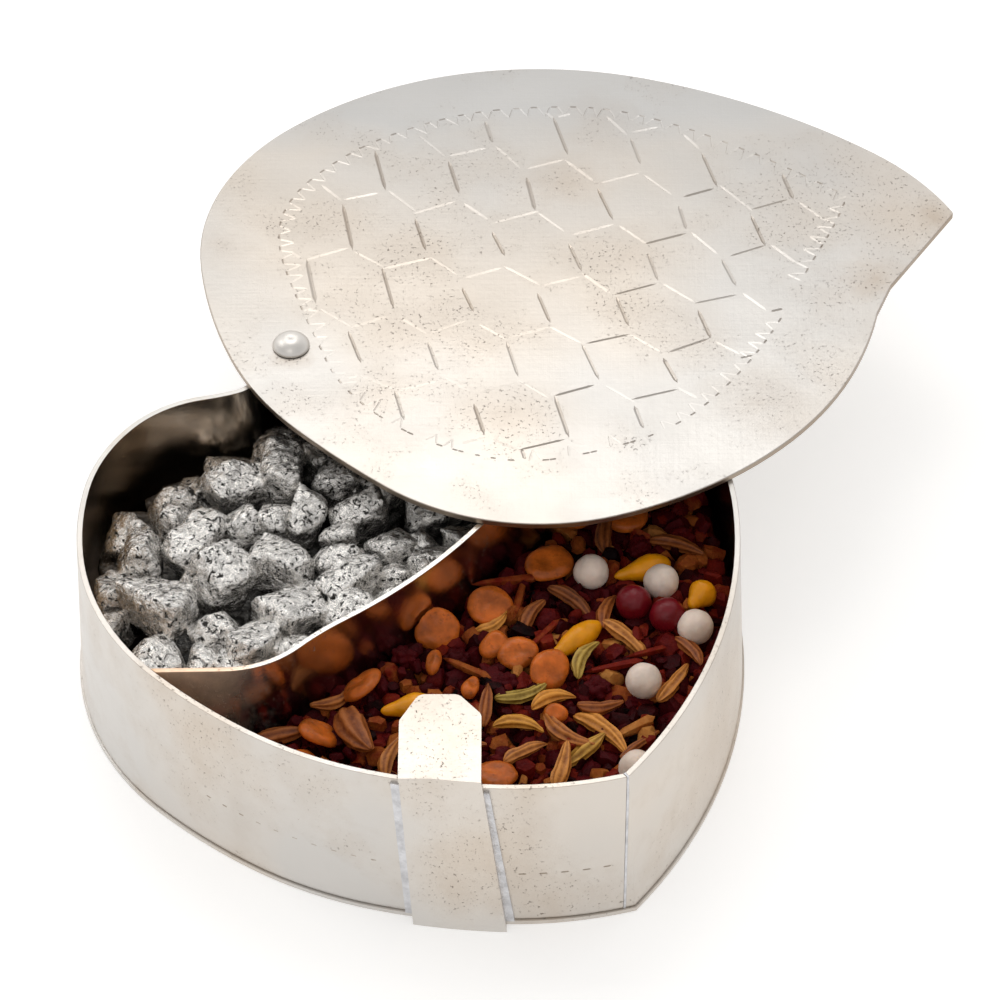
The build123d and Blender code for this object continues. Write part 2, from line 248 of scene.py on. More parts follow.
# Split seeds: place, half length and half width, millimetres, the way the upper face leans
# and by how much, and turn, degrees
LENTILS = [
    (16.9, 2.9, 3.05, 2.6, -90, 8, 20), (9.8, -4.4, 2.9, 2.7, -60, 20, 0),
    (3.4, -8.6, 2.75, 2.7, -80, 40, 35), (-5.2, -17.8, 2.9, 2.6, 150, 38, 66),
    (13.1, -12.2, 2.5, 2.2, -90, 14, 14), (16.9, -15.1, 2.8, 2.4, -50, 34, 60),
    (17.5, -22.0, 1.4, 1.25, -90, 20, 0), (10.4, -31.6, 2.8, 2.5, 90, 12, 0),
    (-10.1, -25.4, 2.8, 2.4, 30, 34, 25), (3.2, -13.9, 1.8, 1.0, 180, 30, 82),
    (7.5, -17.9, 1.8, 1.05, 0, 25, 75), (10.2, -11.0, 1.9, 1.5, -90, 25, 40),
    (26.4, 11.0, 2.8, 2.5, -90, 12, 20), (20.6, 12.0, 2.8, 2.5, -90, 16, 50),
    (-12.0, -29.6, 2.4, 2.2, 60, 24, 10),
]

# Fennel and other long seeds: place, turn, degrees, length and half width, millimetres, and
# tone from dark brown through red brown, tan and orange to green
FENNEL = [
    (19.7, -3.6, -40, 7.0, 1.25, 0.10), (23.8, -5.2, 74, 6.2, 1.15, 0.30),
    (26.0, -9.6, -46, 7.6, 1.30, 0.52), (20.9, -13.2, 64, 6.2, 1.20, 0.98),
    (23.9, 8.2, 82, 7.0, 1.30, 0.12), (31.5, -16.8, 60, 7.6, 1.25, 0.50),
    (23.1, -24.6, -50, 9.4, 1.45, 0.62), (18.7, -25.2, -42, 7.8, 1.30, 0.36),
    (18.3, -30.0, 78, 6.6, 1.30, 0.52), (20.8, -27.6, 40, 6.8, 1.25, 0.90),
    (13.8, -18.5, 22, 6.8, 1.25, 1.00), (14.7, -5.9, 60, 5.6, 1.30, 0.22),
    (10.3, -7.0, 35, 4.8, 1.05, 0.66), (-5.8, -25.3, -68, 8.4, 2.60, 0.26),
    (-14.3, -25.4, 15, 7.0, 1.50, 0.24), (9.3, -20.4, 84, 6.2, 1.15, 0.30),
    (27.2, -26.7, 50, 7.4, 0.70, 0.20), (17.1, -19.7, 20, 5.8, 1.25, 0.70),
    (13.2, -23.8, -10, 6.2, 1.20, 0.80), (6.0, -27.6, 10, 7.0, 1.20, 0.30),
    (1.4, -32.0, 24, 7.4, 1.25, 0.14), (32.6, 6.2, -24, 7.2, 1.25, 0.18),
    (31.2, 15.6, 40, 7.2, 1.25, 0.15), (24.4, 16.2, 10, 7.2, 1.25, 0.12),
    (-1.6, -28.6, 70, 6.4, 1.15, 0.40), (33.6, -11.8, -60, 6.0, 1.10, 0.25),
    (5.6, -23.6, -30, 6.2, 1.10, 0.20), (-8.6, -19.6, 40, 5.8, 1.10, 0.34),
    (14.0, -28.0, 30, 6.0, 1.10, 0.44), (22.8, -20.8, 10, 5.6, 1.10, 0.24),
]

# Thin sticks: place, turn, degrees, length and half width, millimetres, and tone
STICKS = [
    (26.8, -24.0, 30, 3.6, 0.45, 0.90), (13.3, -3.2, 80, 4.4, 0.35, 0.70),
    (11.8, -0.1, 12, 5.2, 0.40, 0.66), (29.4, -11.6, 28, 5.0, 0.30, 0.62),
    (7.2, -14.6, -30, 4.2, 0.35, 0.74), (24.6, -14.2, 8, 4.6, 0.32, 0.60),
    (16.2, -9.0, 50, 4.0, 0.32, 0.64), (0.6, -25.8, 48, 5.2, 0.36, 0.58),
]

# Clusters of dark red grains: place and half size, millimetres
CLUSTERS = [
    (22.4, -17.0, 1.9), (11.6, -16.0, 1.8), (11.4, -28.2, 1.9), (14.4, -26.6, 1.7),
    (5.8, -12.4, 1.9), (-0.2, -11.8, 1.8), (33.2, 8.0, 2.0), (7.6, -24.4, 1.8),
    (2.2, -17.8, 1.7), (25.6, -13.0, 1.7), (-8.0, -22.6, 1.8), (28.0, 6.6, 1.9),
]


class StageSettings(bpy.types.PropertyGroup):
    """Camera, floor and light."""
    lens: FloatProperty(name="Lens", description="Focal length of the camera", default=162.0,
                        unit="CAMERA")
    camera_back: FloatProperty(name="Camera distance", description="From the camera to the rim",
                               default=0.540, subtype="DISTANCE", unit="LENGTH")
    camera_tilt: FloatProperty(name="Camera elevation", description="Angle above the horizon",
                               default=math.radians(44.5), subtype="ANGLE", unit="ROTATION")
    lamp_power: FloatProperty(name="Lamp", description="Power of the lamp behind the box",
                              default=1.25, subtype="POWER", unit="POWER")
    room_strength: FloatProperty(name="Room", description="Brightness of the pale room",
                                 default=1.0)
    floor_colour: FloatVectorProperty(name="Floor", description="Colour of the floor", size=3,
                                      default=(0.86, 0.86, 0.86), subtype="COLOR")
    floor_glow: FloatProperty(name="Floor glow", description="Light that makes the paper white",
                              default=0.40)


class MetalSettings(bpy.types.PropertyGroup):
    """Colours and finish of the silver sheet."""
    silver: FloatVectorProperty(name="Silver", description="Clean metal", size=3,
                                default=(0.84, 0.765, 0.68), subtype="COLOR")
    tarnish: FloatVectorProperty(name="Tarnish", description="Brown stain on the metal", size=3,
                                 default=(0.40, 0.29, 0.19), subtype="COLOR")
    solder: FloatVectorProperty(name="Solder", description="Bluish grey solder", size=3,
                                default=(0.66, 0.66, 0.68), subtype="COLOR")
    edge_round: FloatProperty(name="Edge", description="Rounding of the cut edges",
                              default=0.12 * mm, subtype="DISTANCE", unit="LENGTH")


class LidSettings(bpy.types.PropertyGroup):
    """Engraving of the lid."""
    stroke_width: FloatProperty(name="Stroke width", description="Width of an engraved stroke",
                                default=0.50 * mm, subtype="DISTANCE", unit="LENGTH")
    stroke_depth: FloatProperty(name="Stroke depth", description="Depth of an engraved stroke",
                                default=0.135 * mm, subtype="DISTANCE", unit="LENGTH")
    tooth_pitch: FloatProperty(name="Tooth pitch", description="Step of the border's teeth",
                               default=2.35 * mm, subtype="DISTANCE", unit="LENGTH")
    tooth_reach: FloatProperty(name="Tooth reach", description="Width of the border",
                               default=2.0 * mm, subtype="DISTANCE", unit="LENGTH")
    crown: FloatProperty(name="Crown", description="Slight doming of the sheet, per metre",
                         default=0.95)
    seed: IntProperty(name="Seed", description="Seed of the unevenness", default=7)


class ContentsSettings(bpy.types.PropertyGroup):
    """Colours and sizes of what the box holds."""
    leaf: FloatVectorProperty(name="Silver leaf", description="Coating of the nuts", size=3,
                              default=(0.83, 0.81, 0.78), subtype="COLOR")
    nut: FloatVectorProperty(name="Nut", description="Dark nut under the leaf", size=3,
                             default=(0.018, 0.014, 0.011), subtype="COLOR")
    crumb: FloatVectorProperty(name="Crumbs", description="Dark red chopped spice", size=3,
                               default=(0.078, 0.0035, 0.0060), subtype="COLOR")
    lentil: FloatVectorProperty(name="Split seeds", description="Orange split seeds", size=3,
                                default=(0.54, 0.125, 0.015), subtype="COLOR")
    white: FloatVectorProperty(name="White sweets", description="Sugar balls", size=3,
                               default=(0.86, 0.72, 0.62), subtype="COLOR")
    red: FloatVectorProperty(name="Red sweets", description="Sugar balls", size=3,
                             default=(0.17, 0.004, 0.010), subtype="COLOR")
    yellow: FloatVectorProperty(name="Yellow sweets", description="Coated fennel", size=3,
                                default=(0.84, 0.33, 0.004), subtype="COLOR")
    ball_radius: FloatProperty(name="Ball radius", description="Radius of a sugar ball",
                               default=2.15 * mm, subtype="DISTANCE", unit="LENGTH")
    crumb_size: FloatProperty(name="Crumb size", description="Half size of a crumb",
                              default=1.15 * mm, subtype="DISTANCE", unit="LENGTH")
    seed: IntProperty(name="Seed", description="Seed of the scatter", default=11)


class Recipe:
    """A material or world under construction: a shader and the nodes that feed it."""

    def __init__(self, owner, shader="Principled BSDF", place="Object"):
        owner.use_nodes = True
        self.owner = owner
        self.nodes = owner.node_tree.nodes
        self.links = owner.node_tree.links
        self.shader = self.nodes[shader]
        self.place = self.nodes.new("ShaderNodeTexCoord").outputs[place]

    def feed(self, socket, source):
        if isinstance(source, bpy.types.NodeSocket):
            self.links.new(source, socket)
        elif isinstance(source, tuple) and len(source) == 3 and socket.type == "RGBA":
            socket.default_value = (*source, 1)
        else:
            socket.default_value = source

    def set(self, **values):
        for name, value in values.items():
            self.feed(self.shader.inputs[name.replace("_", " ")], value)

    def stretched(self, scale, turn):
        """The piece's place, squeezed and turned in plan."""
        mapping = self.nodes.new("ShaderNodeMapping")
        self.feed(mapping.inputs["Vector"], self.place)
        mapping.inputs["Rotation"].default_value = (0, 0, turn)
        mapping.inputs["Scale"].default_value = scale
        return mapping.outputs["Vector"]

    def noise(self, size, detail=4.0, roughness=0.55, vector=None, distortion=0.0):
        """Cloudy noise whose features are about size across."""
        node = self.nodes.new("ShaderNodeTexNoise")
        self.feed(node.inputs["Vector"], vector or self.place)
        node.inputs["Scale"].default_value = 1 / size
        node.inputs["Detail"].default_value = detail
        node.inputs["Roughness"].default_value = roughness
        node.inputs["Distortion"].default_value = distortion
        return node.outputs["Fac"]

    def ramp(self, factor, *stops):
        """A ramp through (position, grey or colour) stops."""
        node = self.nodes.new("ShaderNodeValToRGB")
        self.feed(node.inputs["Fac"], factor)
        points = node.color_ramp.elements
        while len(points) < len(stops):
            points.new(0.5)
        for point, (position, value) in zip(points, stops):
            point.position = position
            point.color = (*value, 1) if isinstance(value, tuple) else (value, value, value, 1)
        return node.outputs["Color"]

    def mix(self, factor, first, second):
        node = self.nodes.new("ShaderNodeMix")
        node.data_type = "RGBA"
        self.feed(node.inputs["Factor"], factor)
        self.feed(node.inputs[6], first)
        self.feed(node.inputs[7], second)
        return node.outputs[2]

    def maths(self, operation, first, second=0.0, third=0.0):
        node = self.nodes.new("ShaderNodeMath")
        node.operation = operation
        for socket, source in zip(node.inputs, (first, second, third)):
            self.feed(socket, source)
        return node.outputs["Value"]

    def parts(self, vector):
        """The X, Y and Z sockets of a vector."""
        split = self.nodes.new("ShaderNodeSeparateXYZ")
        self.feed(split.inputs[0], vector)
        return split.outputs

    def vectors(self, operation, first, second):
        node = self.nodes.new("ShaderNodeVectorMath")
        node.operation = operation
        self.feed(node.inputs[0], first)
        self.feed(node.inputs[1], second)
        return node

    def normal(self):
        return self.nodes.new("ShaderNodeNewGeometry").outputs["Normal"]

    def attribute(self, name):
        node = self.nodes.new("ShaderNodeAttribute")
        node.attribute_name = name
        return node.outputs["Fac"]

    def spot(self, x, y, radius, strength):
        """A ragged mark, seen in plan, that fades to nothing near its radius; it places stains,
        and also painted light, shade and reflection.
        """
        flat = self.vectors("MULTIPLY", self.place, (1, 1, 0)).outputs["Vector"]
        away = self.vectors("DISTANCE", flat, (x * mm, y * mm, 0)).outputs["Value"]
        ragged = self.noise(radius * 0.45 * mm, 6, 0.65)
        away = self.maths("MULTIPLY_ADD", ragged, 0.9, self.maths("DIVIDE", away, radius * mm))
        return self.ramp(away, (0.40, strength), (1.25, 0.0))

    def bump(self, height, distance, under=None):
        node = self.nodes.new("ShaderNodeBump")
        node.inputs["Distance"].default_value = distance
        self.feed(node.inputs["Height"], height)
        if under is not None:
            self.feed(node.inputs["Normal"], under)
        return node.outputs["Normal"]


def material_recipe(name):
    return Recipe(bpy.data.materials.new(name))


def shaded(colour, share):
    """The colour made lighter or darker."""
    return tuple(min(1.0, part * share) for part in colour)


def cool_clouds_and_reflection(recipe, cool_far_reflection):
    """Where the metal is cooler: in broad clouds, and along the far margin of the lid, where it is
    a painted cool reflection.
    """
    cool = recipe.ramp(recipe.noise(30 * mm, 2), (0.38, 0.8), (0.66, 0.0))
    if cool_far_reflection:
        # The far margin's cool colour is a painted reflection.
        far = recipe.maths("MULTIPLY_ADD", recipe.noise(20 * mm, 3), 14 * mm,
                           recipe.parts(recipe.place)[1])
        margin = recipe.ramp(recipe.maths("DIVIDE", far, 0.1), (0.70, 0.0), (0.84, 1.0))
        cool = recipe.maths("MAXIMUM", cool, margin)
    return cool


def brown_stain_and_shade(recipe, broad, stain, clouds, spots):
    """Brown stain, faint in clouds and stronger in spots; on the wall one broad spot is painted
    shade.
    """
    stained = recipe.ramp(broad, (0.50 - 0.08 * stain, 0.0), (0.78 - 0.08 * stain, 1.0))
    stained = recipe.maths("MULTIPLY", stained, clouds)
    for spot in spots:
        stained = recipe.maths("MAXIMUM", stained, recipe.spot(*spot))
    return stained


def dark_specks(recipe, broad, stained, pits):
    """Fine dark specks, only where the sheet is worn or stained."""
    fine = recipe.noise(0.42 * mm, 4, 0.7)
    specks = recipe.ramp(fine, (0.64 - 0.04 * pits, 0.0), (0.70 - 0.04 * pits, 1.0))
    worn = recipe.maths("MAXIMUM", recipe.ramp(broad, (0.47, 0.0), (0.60, 1.0)),
                        recipe.ramp(stained, (0.08, 0.0), (0.25, 1.0)))
    return recipe.maths("MULTIPLY", specks, worn)


def brown_slopes_and_shade(recipe, brown_sides_and_stroke_shade, edge_dirt):
    """Dirt on the rounded edges and, with brown sides, brown on the lid's sides and on the flanks
    of deep strokes: tarnish, and in the strokes also painted shade.
    """
    upright = recipe.maths("ABSOLUTE", recipe.parts(recipe.normal())[2])
    if brown_sides_and_stroke_shade:
        return recipe.ramp(upright, (0.30, 0.75), (0.72, 0.42), (0.88, 0.28), (0.95, 0.04),
                           (0.98, 0.0))
    return recipe.ramp(upright, (0.12, 0.0), (0.35, edge_dirt), (0.80, edge_dirt), (0.95, 0.0))


def worn_relief(recipe, speckled, crown):
    """Waves, a crown, mottling, crossed scratches and pits, one bump over the other."""
    waves = recipe.bump(recipe.noise(14 * mm, 1, 0.4), 0.30 * mm)
    if crown:
        from_middle = recipe.maths("SUBTRACT", recipe.parts(recipe.place)[1], 44 * mm)
        height = recipe.maths("MULTIPLY", from_middle, from_middle)
        waves = recipe.bump(height, -crown, waves)
    mottle = recipe.bump(recipe.noise(0.9 * mm, 5, 0.7), 0.020 * mm, waves)
    long_scratches = recipe.noise(0.5 * mm, 2, 0.6, recipe.stretched((1, 0.03, 1), 0.5))
    cross_scratches = recipe.noise(0.4 * mm, 2, 0.6, recipe.stretched((0.04, 1, 1), -0.35))
    scratches = recipe.maths("ADD", long_scratches, cross_scratches)
    grain = recipe.bump(scratches, 0.010 * mm, mottle)
    return recipe.bump(recipe.maths("SUBTRACT", 0.0, speckled), 0.05 * mm, grain)


def sheet_silver(name, metals, share, stain, gloss, pits=0.5, clouds=0.22, spots=(),
                 cool_far_reflection=False, brown_sides_and_stroke_shade=False, edge_dirt=0.6, crown=0.0, painted_patch=None,
                 painted_colour=None, inside_polish_and_shade=False):
    """Old silver-coloured sheet: clouds of warm and cool metal, brown stain, scratches, and where
    asked painted light, shade and reflection.
    """
    recipe = material_recipe(name)
    silver = shaded(metals.silver, share)
    tarnish = tuple(metals.tarnish)
    cool_silver = (silver[0] * 0.88, silver[1] * 0.95, silver[2] * 1.04)
    colour = recipe.mix(cool_clouds_and_reflection(recipe, cool_far_reflection), silver, cool_silver)
    broad = recipe.noise(15 * mm, 7, 0.66)
    # Brown stain; on the wall its broad spot is painted shade.
    stained = brown_stain_and_shade(recipe, broad, stain, clouds, spots)
    colour = recipe.mix(stained, colour, tarnish)
    speckled = dark_specks(recipe, broad, stained, pits)
    colour = recipe.mix(recipe.maths("MULTIPLY", speckled, 0.7), colour, shaded(tarnish, 0.35))
    # Darker brown on steep faces: tarnish, and in the lid's strokes also painted shade.
    slopes = brown_slopes_and_shade(recipe, brown_sides_and_stroke_shade, edge_dirt)
    colour = recipe.mix(slopes, colour, shaded(tarnish, 0.7))
    metallic = 1.0
    polish = 1.0
    if inside_polish_and_shade:
        outward = recipe.vectors("DOT_PRODUCT", recipe.normal(), recipe.place).outputs["Value"]
        inner = recipe.ramp(recipe.maths("MULTIPLY_ADD", outward, 50.0, 0.5),
                            (0.45, 1.0), (0.50, 0.0))
        # Inside face: painted shade in tarnish brown, lighter where a painted reflection of the
        # nuts lies.
        dull = recipe.mix(recipe.spot(*painted_patch), shaded(tarnish, 1.4), painted_colour)
        colour = recipe.mix(inner, colour, dull)
        polish = recipe.maths("MULTIPLY_ADD", inner, -0.5, 1.0)
    elif painted_patch:
        # Painted light: a lighter tan colour with less metal, so the area looks lit.
        bare = recipe.spot(*painted_patch)
        colour = recipe.mix(bare, colour, painted_colour)
        metallic = recipe.maths("MULTIPLY_ADD", bare, -0.85, 1.0)
    rough = recipe.maths("MULTIPLY_ADD", recipe.noise(9 * mm, 5, 0.6), 0.16, gloss - 0.08)
    rough = recipe.maths("MULTIPLY", recipe.maths("MULTIPLY_ADD", stained, 0.14, rough), polish)
    recipe.set(Base_Color=colour, Metallic=metallic, Roughness=rough,
               Normal=worn_relief(recipe, speckled, crown))
    return recipe.owner


def coated_solder(name, metals):
    """Dull bluish solder with blobs and pits."""
    recipe = material_recipe(name)
    blobs = recipe.noise(1.6 * mm, 4, 0.6)
    colour = recipe.mix(recipe.ramp(blobs, (0.35, 0.0), (0.65, 1.0)), shaded(metals.solder, 0.80),
                        shaded(metals.solder, 1.12))
    recipe.set(Base_Color=colour, Metallic=0.9, Normal=recipe.bump(blobs, 0.25 * mm),
               Roughness=recipe.maths("MULTIPLY_ADD", blobs, 0.25, 0.30))
    return recipe.owner


def silver_leaf(name, contents, share=1.0):
    """Beaten silver leaf over a dark nut, torn in specks and wrinkled."""
    recipe = material_recipe(name)
    folds = recipe.noise(1.1 * mm, 6, 0.62, distortion=0.6)
    sparkle = recipe.noise(0.30 * mm, 3, 0.6)
    specks = recipe.ramp(recipe.noise(0.62 * mm, 6, 0.66, distortion=0.8), (0.415, 1.0),
                         (0.430, 0.0))
    holes = recipe.ramp(recipe.noise(2.2 * mm, 7, 0.70, distortion=0.6), (0.365, 1.0),
                        (0.375, 0.0))
    bare = recipe.maths("MAXIMUM", specks, holes)
    # A share under one gives a darker copy of the leaf: painted shade where the nuts lie deeper.
    leaf = recipe.mix(recipe.ramp(folds, (0.34, 0.0), (0.56, 1.0)),
                      shaded(contents.leaf, 0.70 * share), shaded(contents.leaf, 1.14 * share))
    recipe.set(Base_Color=recipe.mix(bare, leaf, tuple(contents.nut)),
               Metallic=recipe.maths("SUBTRACT", 1.0, bare),
               Roughness=recipe.ramp(sparkle, (0.3, 0.28), (0.7, 0.14)))
    creased = recipe.bump(folds, 0.50 * mm)
    grained = recipe.bump(sparkle, 0.08 * mm, creased)
    recipe.set(Normal=recipe.bump(recipe.maths("SUBTRACT", 1.0, bare), 0.14 * mm, grained))
    return recipe.owner


def deep_shade_fill(name, colour):
    """The dark, dry body of what lies deeper in the box; its darkness is painted shade."""
    recipe = material_recipe(name)
    grain = recipe.noise(1.4 * mm, 6, 0.65)
    recipe.set(Base_Color=recipe.mix(grain, shaded(colour, 0.3), shaded(colour, 1.2)),
               Roughness=0.8, Specular_IOR_Level=0.15, Normal=recipe.bump(grain, 0.8 * mm))
    return recipe.owner


def chopped_skin(name, crumb):
    """Chopped spice: each grain has its own tone, from near black red to brown and tan."""
    recipe = material_recipe(name)
    tone = recipe.maths("MULTIPLY_ADD", recipe.noise(1.2 * mm, 5, 0.65), 0.40,
                        recipe.maths("SUBTRACT", recipe.attribute("tone"), 0.20))
    colour = recipe.ramp(tone, (0.05, shaded(crumb, 0.05)), (0.38, crumb),
                         (0.62, (0.190, 0.014, 0.006)), (0.82, (0.38, 0.11, 0.020)),
                         (1.0, (0.60, 0.27, 0.07)))
    grain = recipe.noise(0.7 * mm, 6, 0.65)
    recipe.set(Base_Color=colour, Roughness=0.34, Specular_IOR_Level=0.08,
               Normal=recipe.bump(grain, 0.30 * mm))
    return recipe.owner


def split_skin(name, colour):
    """The smooth orange face of a split seed, in clouds of tone, with brown flecks."""
    recipe = material_recipe(name)
    tone = recipe.noise(2.6 * mm, 3, 0.6)
    flecks = recipe.ramp(recipe.noise(0.8 * mm, 5, 0.65), (0.30, 0.5), (0.42, 0.0))
    base = recipe.mix(recipe.ramp(tone, (0.35, 0.0), (0.68, 1.0)), shaded(colour, 0.62),
                      shaded(colour, 1.35))
    base = recipe.mix(flecks, base, shaded(colour, 0.22))
    recipe.set(Base_Color=base, Roughness=0.30, Specular_IOR_Level=0.25,
               Subsurface_Weight=0.12, Subsurface_Scale=0.6 * mm,
               Normal=recipe.bump(tone, 0.25 * mm))
    return recipe.owner


def fennel_skin(name):
    """Long seeds: pale ridges and dark furrows, each seed with its own tone."""
    recipe = material_recipe(name)
    tone = recipe.attribute("tone")
    furrow = recipe.ramp(tone, (0.0, (0.040, 0.008, 0.003)), (0.3, (0.12, 0.022, 0.005)),
                         (0.55, (0.26, 0.080, 0.014)), (0.75, (0.38, 0.13, 0.012)),
                         (1.0, (0.15, 0.085, 0.006)))
    crest = recipe.ramp(tone, (0.0, (0.20, 0.060, 0.018)), (0.3, (0.42, 0.13, 0.030)),
                        (0.55, (0.74, 0.31, 0.07)), (0.75, (0.80, 0.34, 0.05)),
                        (1.0, (0.52, 0.36, 0.08)))
    worn = recipe.maths("MULTIPLY_ADD", recipe.attribute("ridge"), 0.40,
                        recipe.noise(1.1 * mm, 6, 0.72, distortion=0.5))
    colour = recipe.mix(recipe.ramp(worn, (0.38, 0.0), (0.88, 1.0)), furrow, crest)
    recipe.set(Base_Color=colour, Roughness=0.36, Specular_IOR_Level=0.22,
               Normal=recipe.bump(recipe.noise(0.4 * mm, 4, 0.6), 0.06 * mm))
    return recipe.owner


def sugar_shell(name, colour, gloss):
    """A sugar shell: slightly pitted, a little light passing through it."""
    recipe = material_recipe(name)
    pits = recipe.noise(0.8 * mm, 5, 0.6)
    tone = recipe.noise(2.4 * mm, 3, 0.5)
    mixed = recipe.mix(recipe.ramp(tone, (0.3, 0.0), (0.7, 1.0)), shaded(colour, 0.80),
                       shaded(colour, 1.10))
    recipe.set(Base_Color=mixed, Roughness=gloss, Subsurface_Weight=0.25,
               Specular_IOR_Level=0.3, Subsurface_Scale=0.8 * mm,
               Subsurface_Radius=(1.0, 0.6, 0.4),
               Normal=recipe.bump(pits, 0.10 * mm))
    return recipe.owner


def deselect():
    if bpy.context.object and bpy.context.object.mode != "OBJECT":
        bpy.ops.object.mode_set(mode="OBJECT")
    bpy.ops.object.select_all(action="DESELECT")


def work_on(piece):
    deselect()
    piece.select_set(True)
    bpy.context.view_layer.objects.active = piece


def joined(pieces, name):
    """Several objects made one, named, with its place in its mesh."""
    deselect()
    for piece in pieces:
        piece.select_set(True)
    bpy.context.view_layer.objects.active = pieces[0]
    if len(pieces) > 1:
        bpy.ops.object.join()
    whole = bpy.context.object
    bpy.ops.object.transform_apply(location=True, rotation=True, scale=True)
    whole.name = name
    whole.data.name = name
    return whole


def mark(piece, name, values):
    """Keeps one number for each vertex, or the same for all of them."""
    mesh = piece.data
    if isinstance(values, float):
        values = [values] * len(mesh.vertices)
    layer = mesh.attributes.new(name, "FLOAT", "POINT")
    layer.data.foreach_set("value", values)


def placed_copy(source, matrix):
    """A copy of an object with its own mesh, moved by the matrix."""
    mesh = source.data.copy()
    mesh.transform(matrix)
    piece = bpy.data.objects.new(source.name, mesh)
    bpy.context.scene.collection.objects.link(piece)
    return piece


def remove(piece):
    mesh = piece.data
    bpy.data.objects.remove(piece)
    bpy.data.meshes.remove(mesh)


def modify(piece, kind, **values):
    """Adds a modifier with these values and applies it."""
    work_on(piece)
    modifier = piece.modifiers.new(kind.lower(), kind)
    for name, value in values.items():
        setattr(modifier, name, value)
    bpy.ops.object.modifier_apply(modifier=modifier.name)


def clouds_texture(name, size, depth):
    texture = bpy.data.textures.new(name, "CLOUDS")
    texture.noise_scale = size
    texture.noise_depth = depth
    return texture


def roughen(piece, texture, strength, level=0.5):
    """Moves a surface in and out by a texture."""
    modify(piece, "DISPLACE", texture=texture, texture_coords="LOCAL", strength=strength,
           mid_level=level)


def stretch(x, y, z):
    """A scaling to these half sizes, millimetres."""
    return Matrix.Diagonal((x * mm, y * mm, z * mm, 1))


def on_spice(x, y, lift):
    """A place over the top of the spice bed, millimetres."""
    return Matrix.Translation((x * mm, y * mm, spice_bed_top + lift * mm))


def spin_and_lean(turn, lean_way, lean):
    """A turn in plan after a lean of the upper side towards a direction, degrees."""
    axis = Vector((-math.sin(math.radians(lean_way)), math.cos(math.radians(lean_way)), 0))
    return (Matrix.Rotation(math.radians(lean), 4, axis)
            @ Matrix.Rotation(math.radians(turn), 4, "Z"))


def cad_copy(node, name):
    """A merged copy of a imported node, to be worked on in its place."""
    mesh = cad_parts[node].data.copy()
    piece = bpy.data.objects.new(name, mesh)
    bpy.context.scene.collection.objects.link(piece)
    work_on(piece)
    bpy.ops.mesh.customdata_custom_splitnormals_clear()
    bpy.ops.object.mode_set(mode="EDIT")
    bpy.ops.mesh.select_all(action="SELECT")
    bpy.ops.mesh.remove_doubles(threshold=0.004 * mm)
    bpy.ops.mesh.dissolve_limited(angle_limit=math.radians(0.6))
    bpy.ops.object.mode_set(mode="OBJECT")
    return piece


def chisel_bar():
    """A bar of diamond section with pointed ends, one long and one in half width, on X."""
    deselect()
    bpy.ops.mesh.primitive_cylinder_add(vertices=4, radius=1, depth=CHISEL_MIDDLE,
                                        end_fill_type="TRIFAN", rotation=(0, math.pi / 2, 0))
    chisel = bpy.context.object
    bpy.ops.object.transform_apply(location=True, rotation=True, scale=True)
    for side in (-1, 1):
        bpy.ops.object.mode_set(mode="EDIT")
        bpy.ops.mesh.select_all(action="DESELECT")
        bpy.ops.object.mode_set(mode="OBJECT")
        for vertex in chisel.data.vertices:
            axis_distance = math.hypot(vertex.co.y, vertex.co.z)
            vertex.select = axis_distance < 0.01 and vertex.co.x * side > 0
        bpy.ops.object.mode_set(mode="EDIT")
        bpy.ops.transform.translate(value=(CHISEL_POINT * side, 0, 0))
    bpy.ops.object.mode_set(mode="OBJECT")
    return chisel


def chisel_cut(chisel, middle, along, out, length, width, depth, lean=0.0):
    """One cutter laid on a surface at a place, along a direction, sunk to a depth."""
    across = out.cross(along).normalized() * width / 2
    run = along.normalized() * length
    sink = out.normalized() * depth - across * lean
    matrix = Matrix((run, across, sink)).transposed().to_4x4()
    return placed_copy(chisel, Matrix.Translation(middle) @ matrix)


def engrave(piece, cutters):
    """Cuts the chisel strokes out of a piece."""
    cutter = joined(cutters, "engraving")
    modify(piece, "BOOLEAN", operation="DIFFERENCE", solver="EXACT", object=cutter, use_self=True)
    remove(cutter)


def hold_inside(piece, bed):
    """Draws in the vertices that stand out past a bed's outline, seen from above."""
    vertices = piece.data.vertices
    middle = sum((vertex.co for vertex in vertices), Vector()) / len(vertices)
    for vertex in vertices:
        for share in (1.0, 0.9, 0.8, 0.7, 0.6, 0.5, 0.4, 0.3):
            x = middle.x + (vertex.co.x - middle.x) * share
            y = middle.y + (vertex.co.y - middle.y) * share
            if bed.ray_cast(Vector((x, y, rim_top)), DOWN)[0] is not None:
                vertex.co.x = x
                vertex.co.y = y
                break


def packed_body(node, name, top, material):
    """What fills a compartment below the loose top: a bed's copy, its top lowered."""
    piece = cad_copy(node, name)
    for vertex in piece.data.vertices:
        vertex.co.z = min(vertex.co.z, top)
    return finish_piece(piece, material, "box", [node])


def finish_piece(piece, material, body, nodes, angle=35):
    """Shades a piece, gives it its material and says what it stands for and rides on."""
    work_on(piece)
    bpy.ops.object.shade_smooth_by_angle(angle=math.radians(angle))
    piece.data.materials.clear()
    piece.data.materials.append(material)
    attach(piece, body)
    if nodes:
        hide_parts(*nodes)
    return piece


def sheet_piece(node, material, edge, cutters=()):
    """A sheet piece in the shape of its node, with its cut edges rounded."""
    piece = cad_copy(node, "worn_" + node)
    modify(piece, "BEVEL", width=edge, segments=2, limit_method="ANGLE",
           angle_limit=math.radians(40), use_clamp_overlap=True)
    if cutters:
        engrave(piece, cutters)
    finish_piece(piece, material, "box", [node])
    modify(piece, "WEIGHTED_NORMAL", keep_sharp=True)
    return piece


